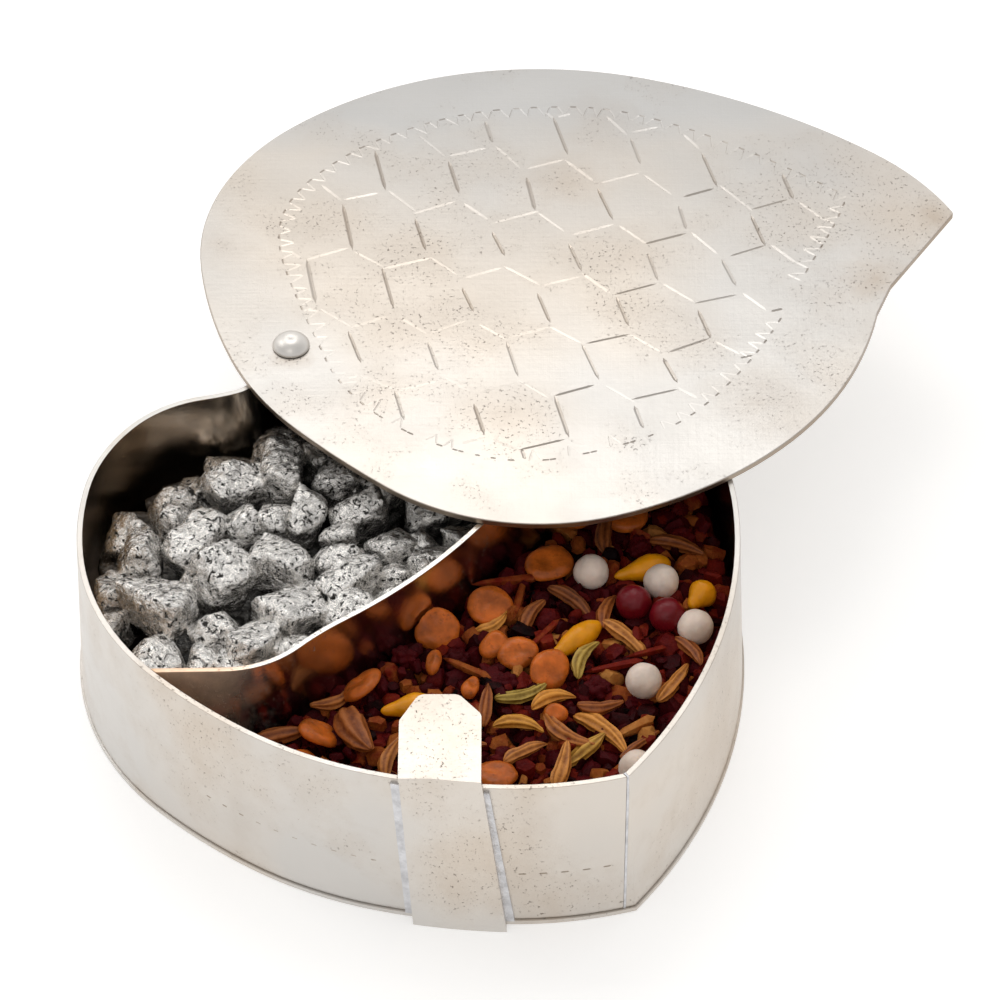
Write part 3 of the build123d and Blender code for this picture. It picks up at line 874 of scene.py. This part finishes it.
def inside(bed, x, y, margin):
    """True where the bed lies under six points round a place, at the margin."""
    for step in range(6):
        angle = math.tau * step / 6
        start = Vector((x + margin * math.cos(angle), y + margin * math.sin(angle), rim_top))
        if bed.ray_cast(start, DOWN)[0] is None:
            return False
    return True


class BuildStage(bpy.types.Operator):
    """Makes the camera, the pale floor and the soft light"""
    bl_idname = "puja.stage"
    bl_label = "Stage"

    def execute(self, context):
        stage = context.scene.puja_stage
        context.scene.view_settings.view_transform = "Standard"
        self.camera(context, stage)
        self.floor(context, stage)
        self.room_light(context, stage)
        for name, place, side, share, colour in LAMPS:
            self.lamp(context, name, place, side, share * stage.lamp_power, colour)
        return {"FINISHED"}

    def camera(self, context, stage):
        """A long lens that looks down at the box from in front."""
        target = Vector((CAMERA_AIM[0] * mm, CAMERA_AIM[1] * mm, rim_top))
        back = Vector((0, -math.cos(stage.camera_tilt), math.sin(stage.camera_tilt)))
        camera_data = bpy.data.cameras.new("camera")
        camera_data.lens = stage.lens
        camera_data.sensor_width = 36
        camera = bpy.data.objects.new("camera", camera_data)
        camera.location = target + back * stage.camera_back
        camera.rotation_euler = (math.pi / 2 - stage.camera_tilt, 0, 0)
        context.scene.collection.objects.link(camera)
        context.scene.camera = camera

    def floor(self, context, stage):
        """Pale paper that glows a little for the camera and in the metal, so it looks white."""
        deselect()
        bpy.ops.mesh.primitive_plane_add(size=FLOOR_SIDE, location=(0, 0, -FLOOR_DROP))
        floor = context.object
        floor.name = "floor"
        recipe = material_recipe("floor_paper")
        recipe.set(Base_Color=tuple(stage.floor_colour), Roughness=0.9, Specular_IOR_Level=0.1)
        glow = recipe.nodes.new("ShaderNodeEmission")
        seen = recipe.nodes.new("ShaderNodeLightPath").outputs
        mirrored = recipe.maths("MAXIMUM", seen["Is Glossy Ray"], seen["Is Transmission Ray"])
        direct = recipe.maths("MAXIMUM", seen["Is Camera Ray"], mirrored)
        recipe.feed(glow.inputs["Color"], FLOOR_LIGHT)
        recipe.feed(glow.inputs["Strength"], recipe.maths("MULTIPLY", direct, stage.floor_glow))
        both = recipe.nodes.new("ShaderNodeAddShader")
        recipe.feed(both.inputs[0], recipe.shader.outputs[0])
        recipe.feed(both.inputs[1], glow.outputs[0])
        recipe.feed(recipe.nodes["Material Output"].inputs["Surface"], both.outputs[0])
        floor.data.materials.append(recipe.owner)

    def room_light(self, context, stage):
        """A round pale room: white low down all round, dimmer above, most so in front."""
        world = bpy.data.worlds.new("studio")
        context.scene.world = world
        room = Recipe(world, "Background", "Generated")
        direction = room.parts(room.place)
        height = room.ramp(direction[2], (0.06, 0.0), (0.30, 1.0))
        back = room.maths("MULTIPLY_ADD", direction[1], 0.5, 0.5)
        above = room.ramp(back, (0.05, ROOM_FRONT), (0.50, ROOM_SIDE), (0.84, ROOM_BACK))
        room.set(Color=room.mix(height, (1.0, 1.0, 1.0), above), Strength=stage.room_strength)

    def lamp(self, context, name, place, side, power, colour):
        """A square soft lamp that looks at the box."""
        lamp_data = bpy.data.lights.new(name, "AREA")
        lamp_data.size = side
        lamp_data.energy = power
        lamp_data.color = colour
        lamp = bpy.data.objects.new(name, lamp_data)
        lamp.location = place
        lamp.rotation_euler = (-Vector(place)).to_track_quat("-Z", "Y").to_euler()
        context.scene.collection.objects.link(lamp)


class BuildSheetMetal(bpy.types.Operator):
    """Wears and finishes the wall, base, divider, lug and catch strap"""
    bl_idname = "puja.sheet_metal"
    bl_label = "Box sheet metal"

    def execute(self, context):
        metals = context.scene.puja_metal
        # The wall: painted shade and a painted reflection inside, and a painted shade spot on the
        # right of the front.
        wall = sheet_silver("wall_silver", metals, 0.82, 0.45, 0.36, clouds=0.30,
                            spots=WALL_STAINS_AND_SHADE, painted_patch=INNER_PAINTED_REFLECTION, painted_colour=INNER_REFLECTION_COLOUR,
                            inside_polish_and_shade=True)
        strap = sheet_silver("strap_silver", metals, 0.83, 0.35, 0.33, clouds=0.30)
        # The divider: a painted lit tan area at its left end.
        inner = sheet_silver("inner_silver", metals, 0.92, 0.80, 0.16, clouds=0.45,
                             painted_patch=DIVIDER_PAINTED_LIGHT, painted_colour=DIVIDER_LIGHT_COLOUR)
        edge = metals.edge_round
        chisel = chisel_bar()
        sheet_piece("side_wall", wall, edge, self.wall_dashes(chisel))
        remove(chisel)
        sheet_piece("base_plate", wall, edge)
        sheet_piece("catch_strap", strap, 1.5 * edge)
        sheet_piece("divider", inner, edge)
        sheet_piece("pivot_lug", strap, edge)
        return {"FINISHED"}

    def wall_dashes(self, chisel):
        """A row of short cuts along the front of the wall, fainter on the left."""
        cuts = []
        last = None
        for step in range(SWEEP_STEPS):
            angle = math.radians(SWEEP_START + step * SWEEP_STEP)
            outward = Vector((math.cos(angle), math.sin(angle), 0))
            start = outward * 100 * mm + Vector((0, 0, DASH_LEVEL * mm))
            place, normal, _, _ = wall_solid.ray_cast(start, -outward)
            if last is not None and (place - last).length < DASH_PITCH * mm:
                continue
            last = place
            if STRAP_LEFT * mm < place.x < STRAP_RIGHT * mm:
                continue
            deep = 1.0 if place.x > 0 else 0.7
            cuts.append(chisel_cut(chisel, place, UP.cross(normal), normal,
                                   DASH_LENGTH * deep * mm, DASH_WIDTH * mm,
                                   DASH_DEPTH * deep * mm))
        return cuts


class BuildSolder(bpy.types.Operator):
    """Gives the solder its dull bluish finish"""
    bl_idname = "puja.solder"
    bl_label = "Solder"

    def execute(self, context):
        material = coated_solder("old_solder", context.scene.puja_metal)
        for node in ("seam_solder", "base_solder", "divider_solder", "lug_solder", "catch_solder"):
            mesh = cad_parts[node].data
            mesh.materials.clear()
            mesh.materials.append(material)
        return {"FINISHED"}


class BuildLid(bpy.types.Operator):
    """Cuts the border and the honeycomb into the lid and wears it"""
    bl_idname = "puja.lid"
    bl_label = "Engraved lid"

    def execute(self, context):
        settings = context.scene.puja_lid
        self.chance = random.Random(settings.seed)
        self.chisel = chisel_bar()
        lid = cad_copy("lid", "engraved_lid")
        modify(lid, "BEVEL", width=context.scene.puja_metal.edge_round, segments=2,
               limit_method="ANGLE", angle_limit=math.radians(40))
        strokes = self.comb_strokes() + self.border_strokes(settings)
        engrave(lid, [self.cut(settings, *stroke) for stroke in strokes])
        remove(self.chisel)
        # The lid's far margin carries a painted cool reflection.
        material = sheet_silver("lid_silver", context.scene.puja_metal, 0.79, 0.45, 0.37,
                                pits=0.8, clouds=0.16, spots=LID_SPOTS, cool_far_reflection=True,
                                brown_sides_and_stroke_shade=True, crown=settings.crown)
        finish_piece(lid, material, "lid", ["lid"], angle=4)
        return {"FINISHED"}

    def cut(self, settings, start, end, width, bright):
        """One cutter from start to end, millimetres on the lid.

        A bright stroke is shallow, and its one wide flank faces the lamp. A dull one is deep.
        """
        run = (Vector(end) - Vector(start)).to_3d() * mm
        middle = (Vector(start) + Vector(end)).to_3d() * mm / 2
        middle.z = lid_top + PROUD
        depth = settings.stroke_depth * width * self.chance.uniform(0.75, 1.15)
        lean = 0.0
        if bright:
            depth *= BRIGHT_DEPTH
            towards_lamp = Vector((-run.y, run.x)).dot(LIT_WAY) > 0
            lean = BRIGHT_LEAN if towards_lamp else -BRIGHT_LEAN
        return chisel_cut(self.chisel, middle, run, UP, run.length,
                          settings.stroke_width * width, depth + PROUD, lean)

    def wander(self, point):
        return point + Vector((self.chance.uniform(-STRAY, STRAY),
                               self.chance.uniform(-STRAY, STRAY)))

    def valley(self, row, column):
        """Where a zigzag row turns up again."""
        fall = COMB_ALONG[1] + COMB_LEVELLING * row
        return Vector((COMB_START[0] + COMB_ALONG[0] * column + COMB_DOWN[0] * row,
                       COMB_START[1] + fall * column + COMB_DOWN[1] * row))

    def comb_strokes(self):
        """The honeycomb, each stroke cut by itself: its ends stop short or run past."""
        leaf = [Vector(point) for point in BORDER_POINTS]
        rise = Vector(COMB_RISE)
        strokes = []
        for row in COMB_ROWS:
            for column in COMB_COLUMNS:
                low = self.valley(row, column)
                peak = low + rise
                after = self.valley(row, column + 1)
                foot = self.valley(row + 1, column) + rise
                lit = low.x < LIT_SHARE * low.y
                for start, end, width, bright, short in (
                        (low, peak, LIT_RISE if lit else DULL_RISE, lit, 0.06),
                        (peak, after, FALL, True, 0.05),
                        (low, foot, UPRIGHT, False, 0.10)):
                    first = start.lerp(end, self.chance.uniform(-0.05, 2 * short))
                    last = end.lerp(start, self.chance.uniform(-0.05, 2 * short))
                    stroke = self.trimmed(leaf, self.wander(first), self.wander(last))
                    if stroke:
                        width *= self.chance.uniform(0.85, 1.12)
                        strokes.append((*stroke, width, bright))
        return strokes

    def trimmed(self, leaf, start, end):
        """The part of a stroke that lies inside the border, or nothing where it is too short."""
        inside_start = self.well_inside(leaf, start)
        inside_end = self.well_inside(leaf, end)
        if not inside_start and not inside_end:
            return None
        for _ in range(8):
            if not self.well_inside(leaf, start):
                start = start.lerp(end, 0.15)
            if not self.well_inside(leaf, end):
                end = end.lerp(start, 0.15)
        if (end - start).length < 1.5:
            return None
        return (start, end)

    def well_inside(self, leaf, point):
        """True where a point lies in the leaf and clear of its edge."""
        crossings = 0
        nearest = 1e9
        for first, second in zip(leaf, leaf[1:] + leaf[:1]):
            if (first.y > point.y) != (second.y > point.y):
                cut = first.x + (point.y - first.y) / (second.y - first.y) * (second.x - first.x)
                crossings += cut > point.x
            run = second - first
            share = max(0.0, min(1.0, (point - first).dot(run) / run.length_squared))
            nearest = min(nearest, (first + run * share - point).length)
        return crossings % 2 == 1 and nearest > 1.0

    def border_strokes(self, settings):
        """Teeth that point inwards along the leaf, and the dashes that join their feet."""
        pitch = settings.tooth_pitch / mm
        reach = settings.tooth_reach / mm
        outline = self.smooth_leaf()
        strokes = []
        travelled = 0.0
        next_foot = 0.0
        feet = []
        for first, second in zip(outline, outline[1:]):
            run = second - first
            while next_foot <= travelled + run.length:
                along = (next_foot - travelled) / run.length
                place = first + run * along
                inward = Vector((-run.y, run.x)).normalized()
                feet.append((place, inward, run.normalized()))
                next_foot += pitch * self.chance.uniform(0.82, 1.18)
            travelled += run.length
        for (foot, inward, along), (next_place, _, _) in zip(feet, feet[1:]):
            if foot.x > BORDER_GAP[0] and BORDER_GAP[1] < foot.y < BORDER_GAP[2]:
                continue
            worn = foot.x < WORN_CORNER[0] and foot.y < WORN_CORNER[1]
            if worn and self.chance.random() < WORN_SHARE:
                strokes.append((foot, foot.lerp(next_place, 0.35), BORDER_DASH, False))
                continue
            tip = foot + inward * reach * self.chance.uniform(0.75, 1.1)
            tip += along * pitch * self.chance.uniform(0.15, 0.35)
            landing = foot.lerp(next_place, 0.62)
            strokes.append((foot, tip, TOOTH_OUT, True))
            strokes.append((tip, landing, TOOTH_BACK, True))
            strokes.append((landing, next_place, BORDER_DASH, False))
        return strokes

    def smooth_leaf(self):
        """The border's line rounded through its points, but for its own point."""
        points = [Vector(point) for point in BORDER_POINTS]
        points = [points[0]] + points + [points[0], points[0]]
        line = []
        for index in range(1, len(points) - 2):
            before, first, second, after = points[index - 1:index + 3]
            for step in range(6):
                share = step / 6
                line.append(0.5 * (2 * first + (second - before) * share
                            + (2 * before - 5 * first + 4 * second - after) * share ** 2
                            + (3 * first - before - 3 * second + after) * share ** 3))
        line.append(points[-2])
        return line


class BuildRivet(bpy.types.Operator):
    """Finishes the rivet that the lid turns on"""
    bl_idname = "puja.rivet"
    bl_label = "Pivot rivet"

    def execute(self, context):
        metals = context.scene.puja_metal
        material = sheet_silver("rivet_silver", metals, 1.0, 0.2, 0.42, pits=0.2, edge_dirt=0.0)
        sheet_piece("pivot_rivet", material, 0.5 * metals.edge_round)
        return {"FINISHED"}


class BuildNuts(bpy.types.Operator):
    """Heaps the silver-coated nuts in the left compartment"""
    bl_idname = "puja.nuts"
    bl_label = "Silver nuts"

    def execute(self, context):
        contents = context.scene.puja_contents
        self.chance = random.Random(contents.seed)
        self.lumps = clouds_texture("nut_lumps", 3.4 * mm, 2)
        self.crinkle = clouds_texture("nut_crinkle", 0.9 * mm, 3)
        leaf = silver_leaf("silver_leaf", contents)
        # The lower nuts wear a darker copy of the leaf: painted shade.
        shaded_leaf = silver_leaf("shaded_leaf", contents, 0.26)
        # The packed nuts below are near black: painted shade.
        dark = deep_shade_fill("deep_shade_fill", tuple(contents.nut))
        top_layer = [self.nut(*row, NUT_MESH) for row in NUTS
                     if inside(nut_solid, row[0] * mm, row[1] * mm, 1 * mm)]
        finish_piece(joined(top_layer, "coated_nuts"), leaf, "box", ["silver_nuts"],
                     60)
        finish_piece(joined(self.under_layer(), "lower_nuts"), shaded_leaf, "box", ["nut_bed"],
                     60)
        packed_body("nut_bed", "packed_nuts", NUT_BODY_TOP * mm, dark)
        return {"FINISHED"}

    def nut(self, x, y, drop, length, width, height, turn, voxel):
        """One nut: a block knocked out of square, its corners worn, lumped and crinkled."""
        deselect()
        bpy.ops.mesh.primitive_cube_add(size=1)
        nut = bpy.context.object
        bpy.ops.object.mode_set(mode="EDIT")
        bpy.ops.mesh.select_all(action="SELECT")
        bpy.ops.mesh.subdivide(number_cuts=1)
        bpy.ops.transform.vertex_random(offset=0.24, uniform=0.7, seed=self.chance.randrange(9999))
        bpy.ops.mesh.select_all(action="SELECT")
        bpy.ops.mesh.convex_hull()
        bpy.ops.object.mode_set(mode="OBJECT")
        span = nut.dimensions
        size = Matrix.Diagonal((NUT_SLIMMING[0] * length * mm / span.x,
                                NUT_SLIMMING[1] * width * mm / span.y, height * mm / span.z, 1))
        tilt = Euler((self.chance.uniform(-0.35, 0.35), self.chance.uniform(-0.35, 0.35), 0))
        spin = Matrix.Rotation(math.radians(turn), 4, "Z")
        middle = Vector((x * mm, y * mm, rim_top - (drop + height / 2) * mm))
        nut.data.transform(Matrix.Translation(middle) @ spin @ tilt.to_matrix().to_4x4() @ size)
        modify(nut, "REMESH", mode="VOXEL", voxel_size=voxel * mm)
        modify(nut, "SMOOTH", factor=0.5, iterations=1)
        roughen(nut, self.lumps, 0.8 * mm)
        roughen(nut, self.crinkle, 0.5 * mm)
        if not inside(nut_solid, x * mm, y * mm, (length / 2 + 1) * mm):
            hold_inside(nut, nut_solid)
        return nut

    def under_layer(self):
        """Rows of nuts below the ones on top, seen only through the gaps."""
        nuts = []
        for row in LOWER_ROWS:
            for column in LOWER_COLUMNS:
                x = (column + 0.5 * (row % 2)) * LOWER_PITCH
                x += self.chance.uniform(-LOWER_SWAY, LOWER_SWAY)
                y = row * LOWER_PITCH * 0.87 + self.chance.uniform(-LOWER_SWAY, LOWER_SWAY)
                if inside(nut_solid, x * mm, y * mm, 2.6 * mm):
                    drop = self.chance.uniform(*LOWER_DROP)
                    turn = self.chance.uniform(0, 180)
                    nuts.append(self.nut(x, y, drop, *LOWER_SIZE, turn, LOWER_NUT_MESH))
        return nuts


class BuildSpiceBed(bpy.types.Operator):
    """Fills the right compartment with chopped spice, sticks and clusters of grains"""
    bl_idname = "puja.spice_bed"
    bl_label = "Chopped spice"

    def execute(self, context):
        contents = context.scene.puja_contents
        self.chance = random.Random(contents.seed + 1)
        shapes = [self.crumb_shape(seed) for seed in (3, 8, 14)]
        pieces = []
        for step, low, high, share in CRUMB_LAYERS:
            size = share * contents.crumb_size
            pieces += self.layer(shapes, step * mm, low * mm, high * mm, size)
        pieces += [self.stick(shapes[0], *row) for row in STICKS]
        for shape in shapes:
            remove(shape)
        pieces += [self.cluster(*row) for row in CLUSTERS]
        material = chopped_skin("red_spice", tuple(contents.crumb))
        finish_piece(joined(pieces, "chopped_spice"), material, "box", ["spice_bed"],
                     40)
        # The packed spice is a darker copy of the crumb colour: painted shade.
        dark = deep_shade_fill("spice_shade_fill", shaded(contents.crumb, 0.5))
        packed_body("spice_bed", "packed_spice", SPICE_BODY_TOP * mm, dark)
        return {"FINISHED"}

    def crumb_shape(self, seed):
        """A small broken block, a few dozen faces."""
        deselect()
        bpy.ops.mesh.primitive_cube_add(size=2)
        crumb = bpy.context.object
        bpy.ops.object.mode_set(mode="EDIT")
        bpy.ops.mesh.subdivide(number_cuts=1, smoothness=0.7)
        bpy.ops.transform.vertex_random(offset=0.34, uniform=0.4, seed=seed)
        bpy.ops.object.mode_set(mode="OBJECT")
        return crumb

    def layer(self, shapes, step, low, high, crumb_size):
        """Crumbs strewn over the bed, between two heights about its top."""
        corner, far_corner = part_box("spice_bed")
        crumbs = []
        for row in range(int((far_corner.y - corner.y) / step)):
            for column in range(int((far_corner.x - corner.x) / step)):
                x = corner.x + (column + self.chance.uniform(0.0, 1.0)) * step
                y = corner.y + (row + self.chance.uniform(0.0, 1.0)) * step
                if inside(spice_solid, x, y, 1.1 * mm):
                    size = crumb_size * self.chance.uniform(0.55, 1.15)
                    crumbs.append(self.crumb(shapes, x, y, low, high, size))
        return crumbs

    def crumb(self, shapes, x, y, low, high, size):
        """One crumb, flattened and turned any way, at a height about the bed's top."""
        shape = Matrix.Diagonal((size, size * self.chance.uniform(0.5, 1.0),
                                 size * self.chance.uniform(0.4, 0.8), 1))
        turn = Euler([self.chance.uniform(0, math.tau) for _ in range(3)])
        place = Matrix.Translation((x, y, spice_bed_top + self.chance.uniform(low, high)))
        crumb = placed_copy(self.chance.choice(shapes),
                            place @ turn.to_matrix().to_4x4() @ shape)
        mark(crumb, "tone", self.chance.triangular(0.0, 1.0, 0.22))
        return crumb

    def stick(self, shape, x, y, turn, length, half_width, tone):
        """A thin broken stalk lying on the crumbs."""
        lean = spin_and_lean(turn, turn, self.chance.uniform(-14, 14))
        size = stretch(length / 2, half_width, half_width)
        stick = placed_copy(shape, on_spice(x, y, STICK_LIFT) @ lean @ size)
        mark(stick, "tone", tone)
        return stick

    def cluster(self, x, y, half_size):
        """A dried cluster of round grains."""
        deselect()
        bpy.ops.mesh.primitive_ico_sphere_add(subdivisions=4, radius=1)
        cluster = bpy.context.object
        size = half_size * mm
        shape = Matrix.Diagonal((size, size * self.chance.uniform(0.7, 0.9), size * 0.75, 1))
        spin = Matrix.Rotation(self.chance.uniform(0, math.tau), 4, "Z")
        cluster.data.transform(on_spice(x, y, CLUSTER_LIFT) @ spin @ shape)
        grains = bpy.data.textures.new("grains", "VORONOI")
        grains.noise_scale = 1.0 * mm
        roughen(cluster, grains, -0.9 * mm, 0.4)
        mark(cluster, "tone", self.chance.uniform(0.22, 0.42))
        hold_inside(cluster, spice_solid)
        return cluster


class BuildLentils(bpy.types.Operator):
    """Lays the orange split seeds on the spice"""
    bl_idname = "puja.lentils"
    bl_label = "Split seeds"

    def execute(self, context):
        self.lumps = clouds_texture("seed_lumps", 2.2 * mm, 1)
        seeds = [self.seed(*row) for row in LENTILS]
        material = split_skin("orange_seed", tuple(context.scene.puja_contents.lentil))
        finish_piece(joined(seeds, "split_seeds"), material, "box", ["orange_lentils"],
                     60)
        return {"FINISHED"}

    def seed(self, x, y, half_length, half_width, lean_way, lean, turn):
        """A ball pressed to a flat-bottomed disc with a full rim and a faint dish on top."""
        deselect()
        bpy.ops.mesh.primitive_uv_sphere_add(segments=28, ring_count=16, radius=1)
        seed = bpy.context.object
        for vertex in seed.data.vertices:
            out = math.hypot(vertex.co.x, vertex.co.y)
            thick = max(0.0, 1 - out ** 3.2) ** 0.5
            dish = 0.22 * max(0.0, 1 - (out / 0.6) ** 2)
            vertex.co.z = (thick - dish) if vertex.co.z > 0 else -0.45 * thick
        size = stretch(half_length, half_width, LENTIL_HALF_THICKNESS)
        lift = LENTIL_LIFT + abs(math.sin(math.radians(lean)))
        place = on_spice(x, y, lift)
        seed.data.transform(place @ spin_and_lean(turn, lean_way, lean) @ size)
        roughen(seed, self.lumps, 0.5 * mm)
        hold_inside(seed, spice_solid)
        return seed


class BuildFennel(bpy.types.Operator):
    """Lays the ridged fennel and other long seeds on the spice"""
    bl_idname = "puja.fennel"
    bl_label = "Fennel seeds"

    def execute(self, context):
        self.chance = random.Random(context.scene.puja_contents.seed + 3)
        self.lumps = clouds_texture("fennel_lumps", 2.4 * mm, 2)
        seeds = [self.seed(*row) for row in FENNEL]
        finish_piece(joined(seeds, "ridged_seeds"), fennel_skin("fennel_skin"), "box",
                     ["fennel_seeds"], 60)
        return {"FINISHED"}

    def seed(self, x, y, turn, length, girth, tone):
        """A seed with six ridges: a ball drawn out, pulled in between them, then curved."""
        deselect()
        bpy.ops.mesh.primitive_uv_sphere_add(segments=30, ring_count=14, radius=1,
                                             rotation=(0, math.pi / 2, 0))
        seed = bpy.context.object
        bpy.ops.object.transform_apply(location=True, rotation=True, scale=True)
        bend = self.chance.uniform(-1.3, 1.3) * mm
        roll = self.chance.uniform(0, math.tau)
        ridges = []
        for vertex in seed.data.vertices:
            across = math.hypot(vertex.co.y, vertex.co.z)
            angle = math.atan2(vertex.co.z, vertex.co.y)
            ridge = (0.5 + 0.5 * math.cos(6 * angle + roll)) ** 1.3
            along = vertex.co.x
            radius = (FENNEL_SLIMMING * girth * mm * across ** 0.92 * (0.76 + 0.24 * ridge)
                      * (1 - 0.28 * along))
            vertex.co.y = radius * math.cos(angle) + bend * (along * along - 0.4)
            vertex.co.z = radius * math.sin(angle) * 0.85
            vertex.co.x = length / 2 * mm * along
            ridges.append(ridge)
        mark(seed, "ridge", ridges)
        mark(seed, "tone", tone)
        lift = FENNEL_LIFT + 0.5 * girth + self.chance.uniform(-0.2, 0.3)
        lean = spin_and_lean(turn, turn, self.chance.uniform(-13, 13))
        seed.data.transform(on_spice(x, y, lift) @ lean)
        roughen(seed, self.lumps, 0.7 * mm)
        hold_inside(seed, spice_solid)
        return seed


class BuildSweets(bpy.types.Operator):
    """Drops the sugar balls and the coated fennel on the spice"""
    bl_idname = "puja.sweets"
    bl_label = "Sugar sweets"

    def execute(self, context):
        contents = context.scene.puja_contents
        self.lumps = clouds_texture("sugar_lumps", 1.6 * mm, 1)
        radius = contents.ball_radius / mm
        white = [self.drop(x, y, 0, radius, radius) for x, y in WHITE_PLACES]
        red = [self.drop(x, y, 0, radius, radius) for x, y in RED_PLACES]
        yellow = [self.drop(*row, 0.42) for row in YELLOW_DROPS]
        for sweets, name, node, colour, gloss in (
                (white, "white", "white_candies", contents.white, 0.38),
                (red, "red", "red_candies", contents.red, 0.30),
                (yellow, "yellow", "yellow_candies", contents.yellow, 0.30)):
            shell = sugar_shell(name + "_sugar", tuple(colour), gloss)
            finish_piece(joined(sweets, name + "_sweets"), shell, "box", [node],
                         60)
        return {"FINISHED"}

    def drop(self, x, y, turn, half_length, half_width, taper=0.0):
        """One sweet: a ball, drawn out and narrowed at one end, with an uneven shell."""
        deselect()
        bpy.ops.mesh.primitive_ico_sphere_add(subdivisions=5, radius=1)
        sweet = bpy.context.object
        for vertex in sweet.data.vertices:
            narrow = 1 - taper * max(0.0, min(1.0, 0.35 - 1.3 * vertex.co.x))
            vertex.co.y *= narrow
            vertex.co.z *= narrow
        size = stretch(half_length, half_width, half_width)
        place = on_spice(x, y, half_width + SWEET_LIFT)
        sweet.data.transform(place @ Matrix.Rotation(math.radians(turn), 4, "Z") @ size)
        roughen(sweet, self.lumps, 0.18 * mm)
        return sweet


class PujaPanel(bpy.types.Panel):
    """Lists the steps that dress the box."""
    bl_idname = "VIEW3D_PT_puja_box"
    bl_label = "Puja box"
    bl_space_type = "VIEW_3D"
    bl_region_type = "UI"
    bl_category = "Puja box"

    def draw(self, context):
        for operator in OPERATORS:
            self.layout.operator(operator.bl_idname)


SETTINGS = {
    "puja_stage": StageSettings,
    "puja_metal": MetalSettings,
    "puja_lid": LidSettings,
    "puja_contents": ContentsSettings,
}
OPERATORS = (
    BuildStage, BuildSheetMetal, BuildSolder, BuildLid, BuildRivet, BuildNuts, BuildSpiceBed,
    BuildLentils, BuildFennel, BuildSweets,
)


def register():
    for group in SETTINGS.values():
        bpy.utils.register_class(group)
    for name, group in SETTINGS.items():
        setattr(bpy.types.Scene, name, PointerProperty(type=group))
    for operator in OPERATORS:
        bpy.utils.register_class(operator)
    bpy.utils.register_class(PujaPanel)


def unregister():
    bpy.utils.unregister_class(PujaPanel)
    for operator in reversed(OPERATORS):
        bpy.utils.unregister_class(operator)
    for name, group in SETTINGS.items():
        delattr(bpy.types.Scene, name)
        bpy.utils.unregister_class(group)


def main():
    register()
    bpy.ops.puja.stage()
    bpy.ops.puja.sheet_metal()
    bpy.ops.puja.solder()
    bpy.ops.puja.lid()
    bpy.ops.puja.rivet()
    bpy.ops.puja.nuts()
    bpy.ops.puja.spice_bed()
    bpy.ops.puja.lentils()
    bpy.ops.puja.fennel()
    bpy.ops.puja.sweets()


if __name__ == "__main__":
    main()
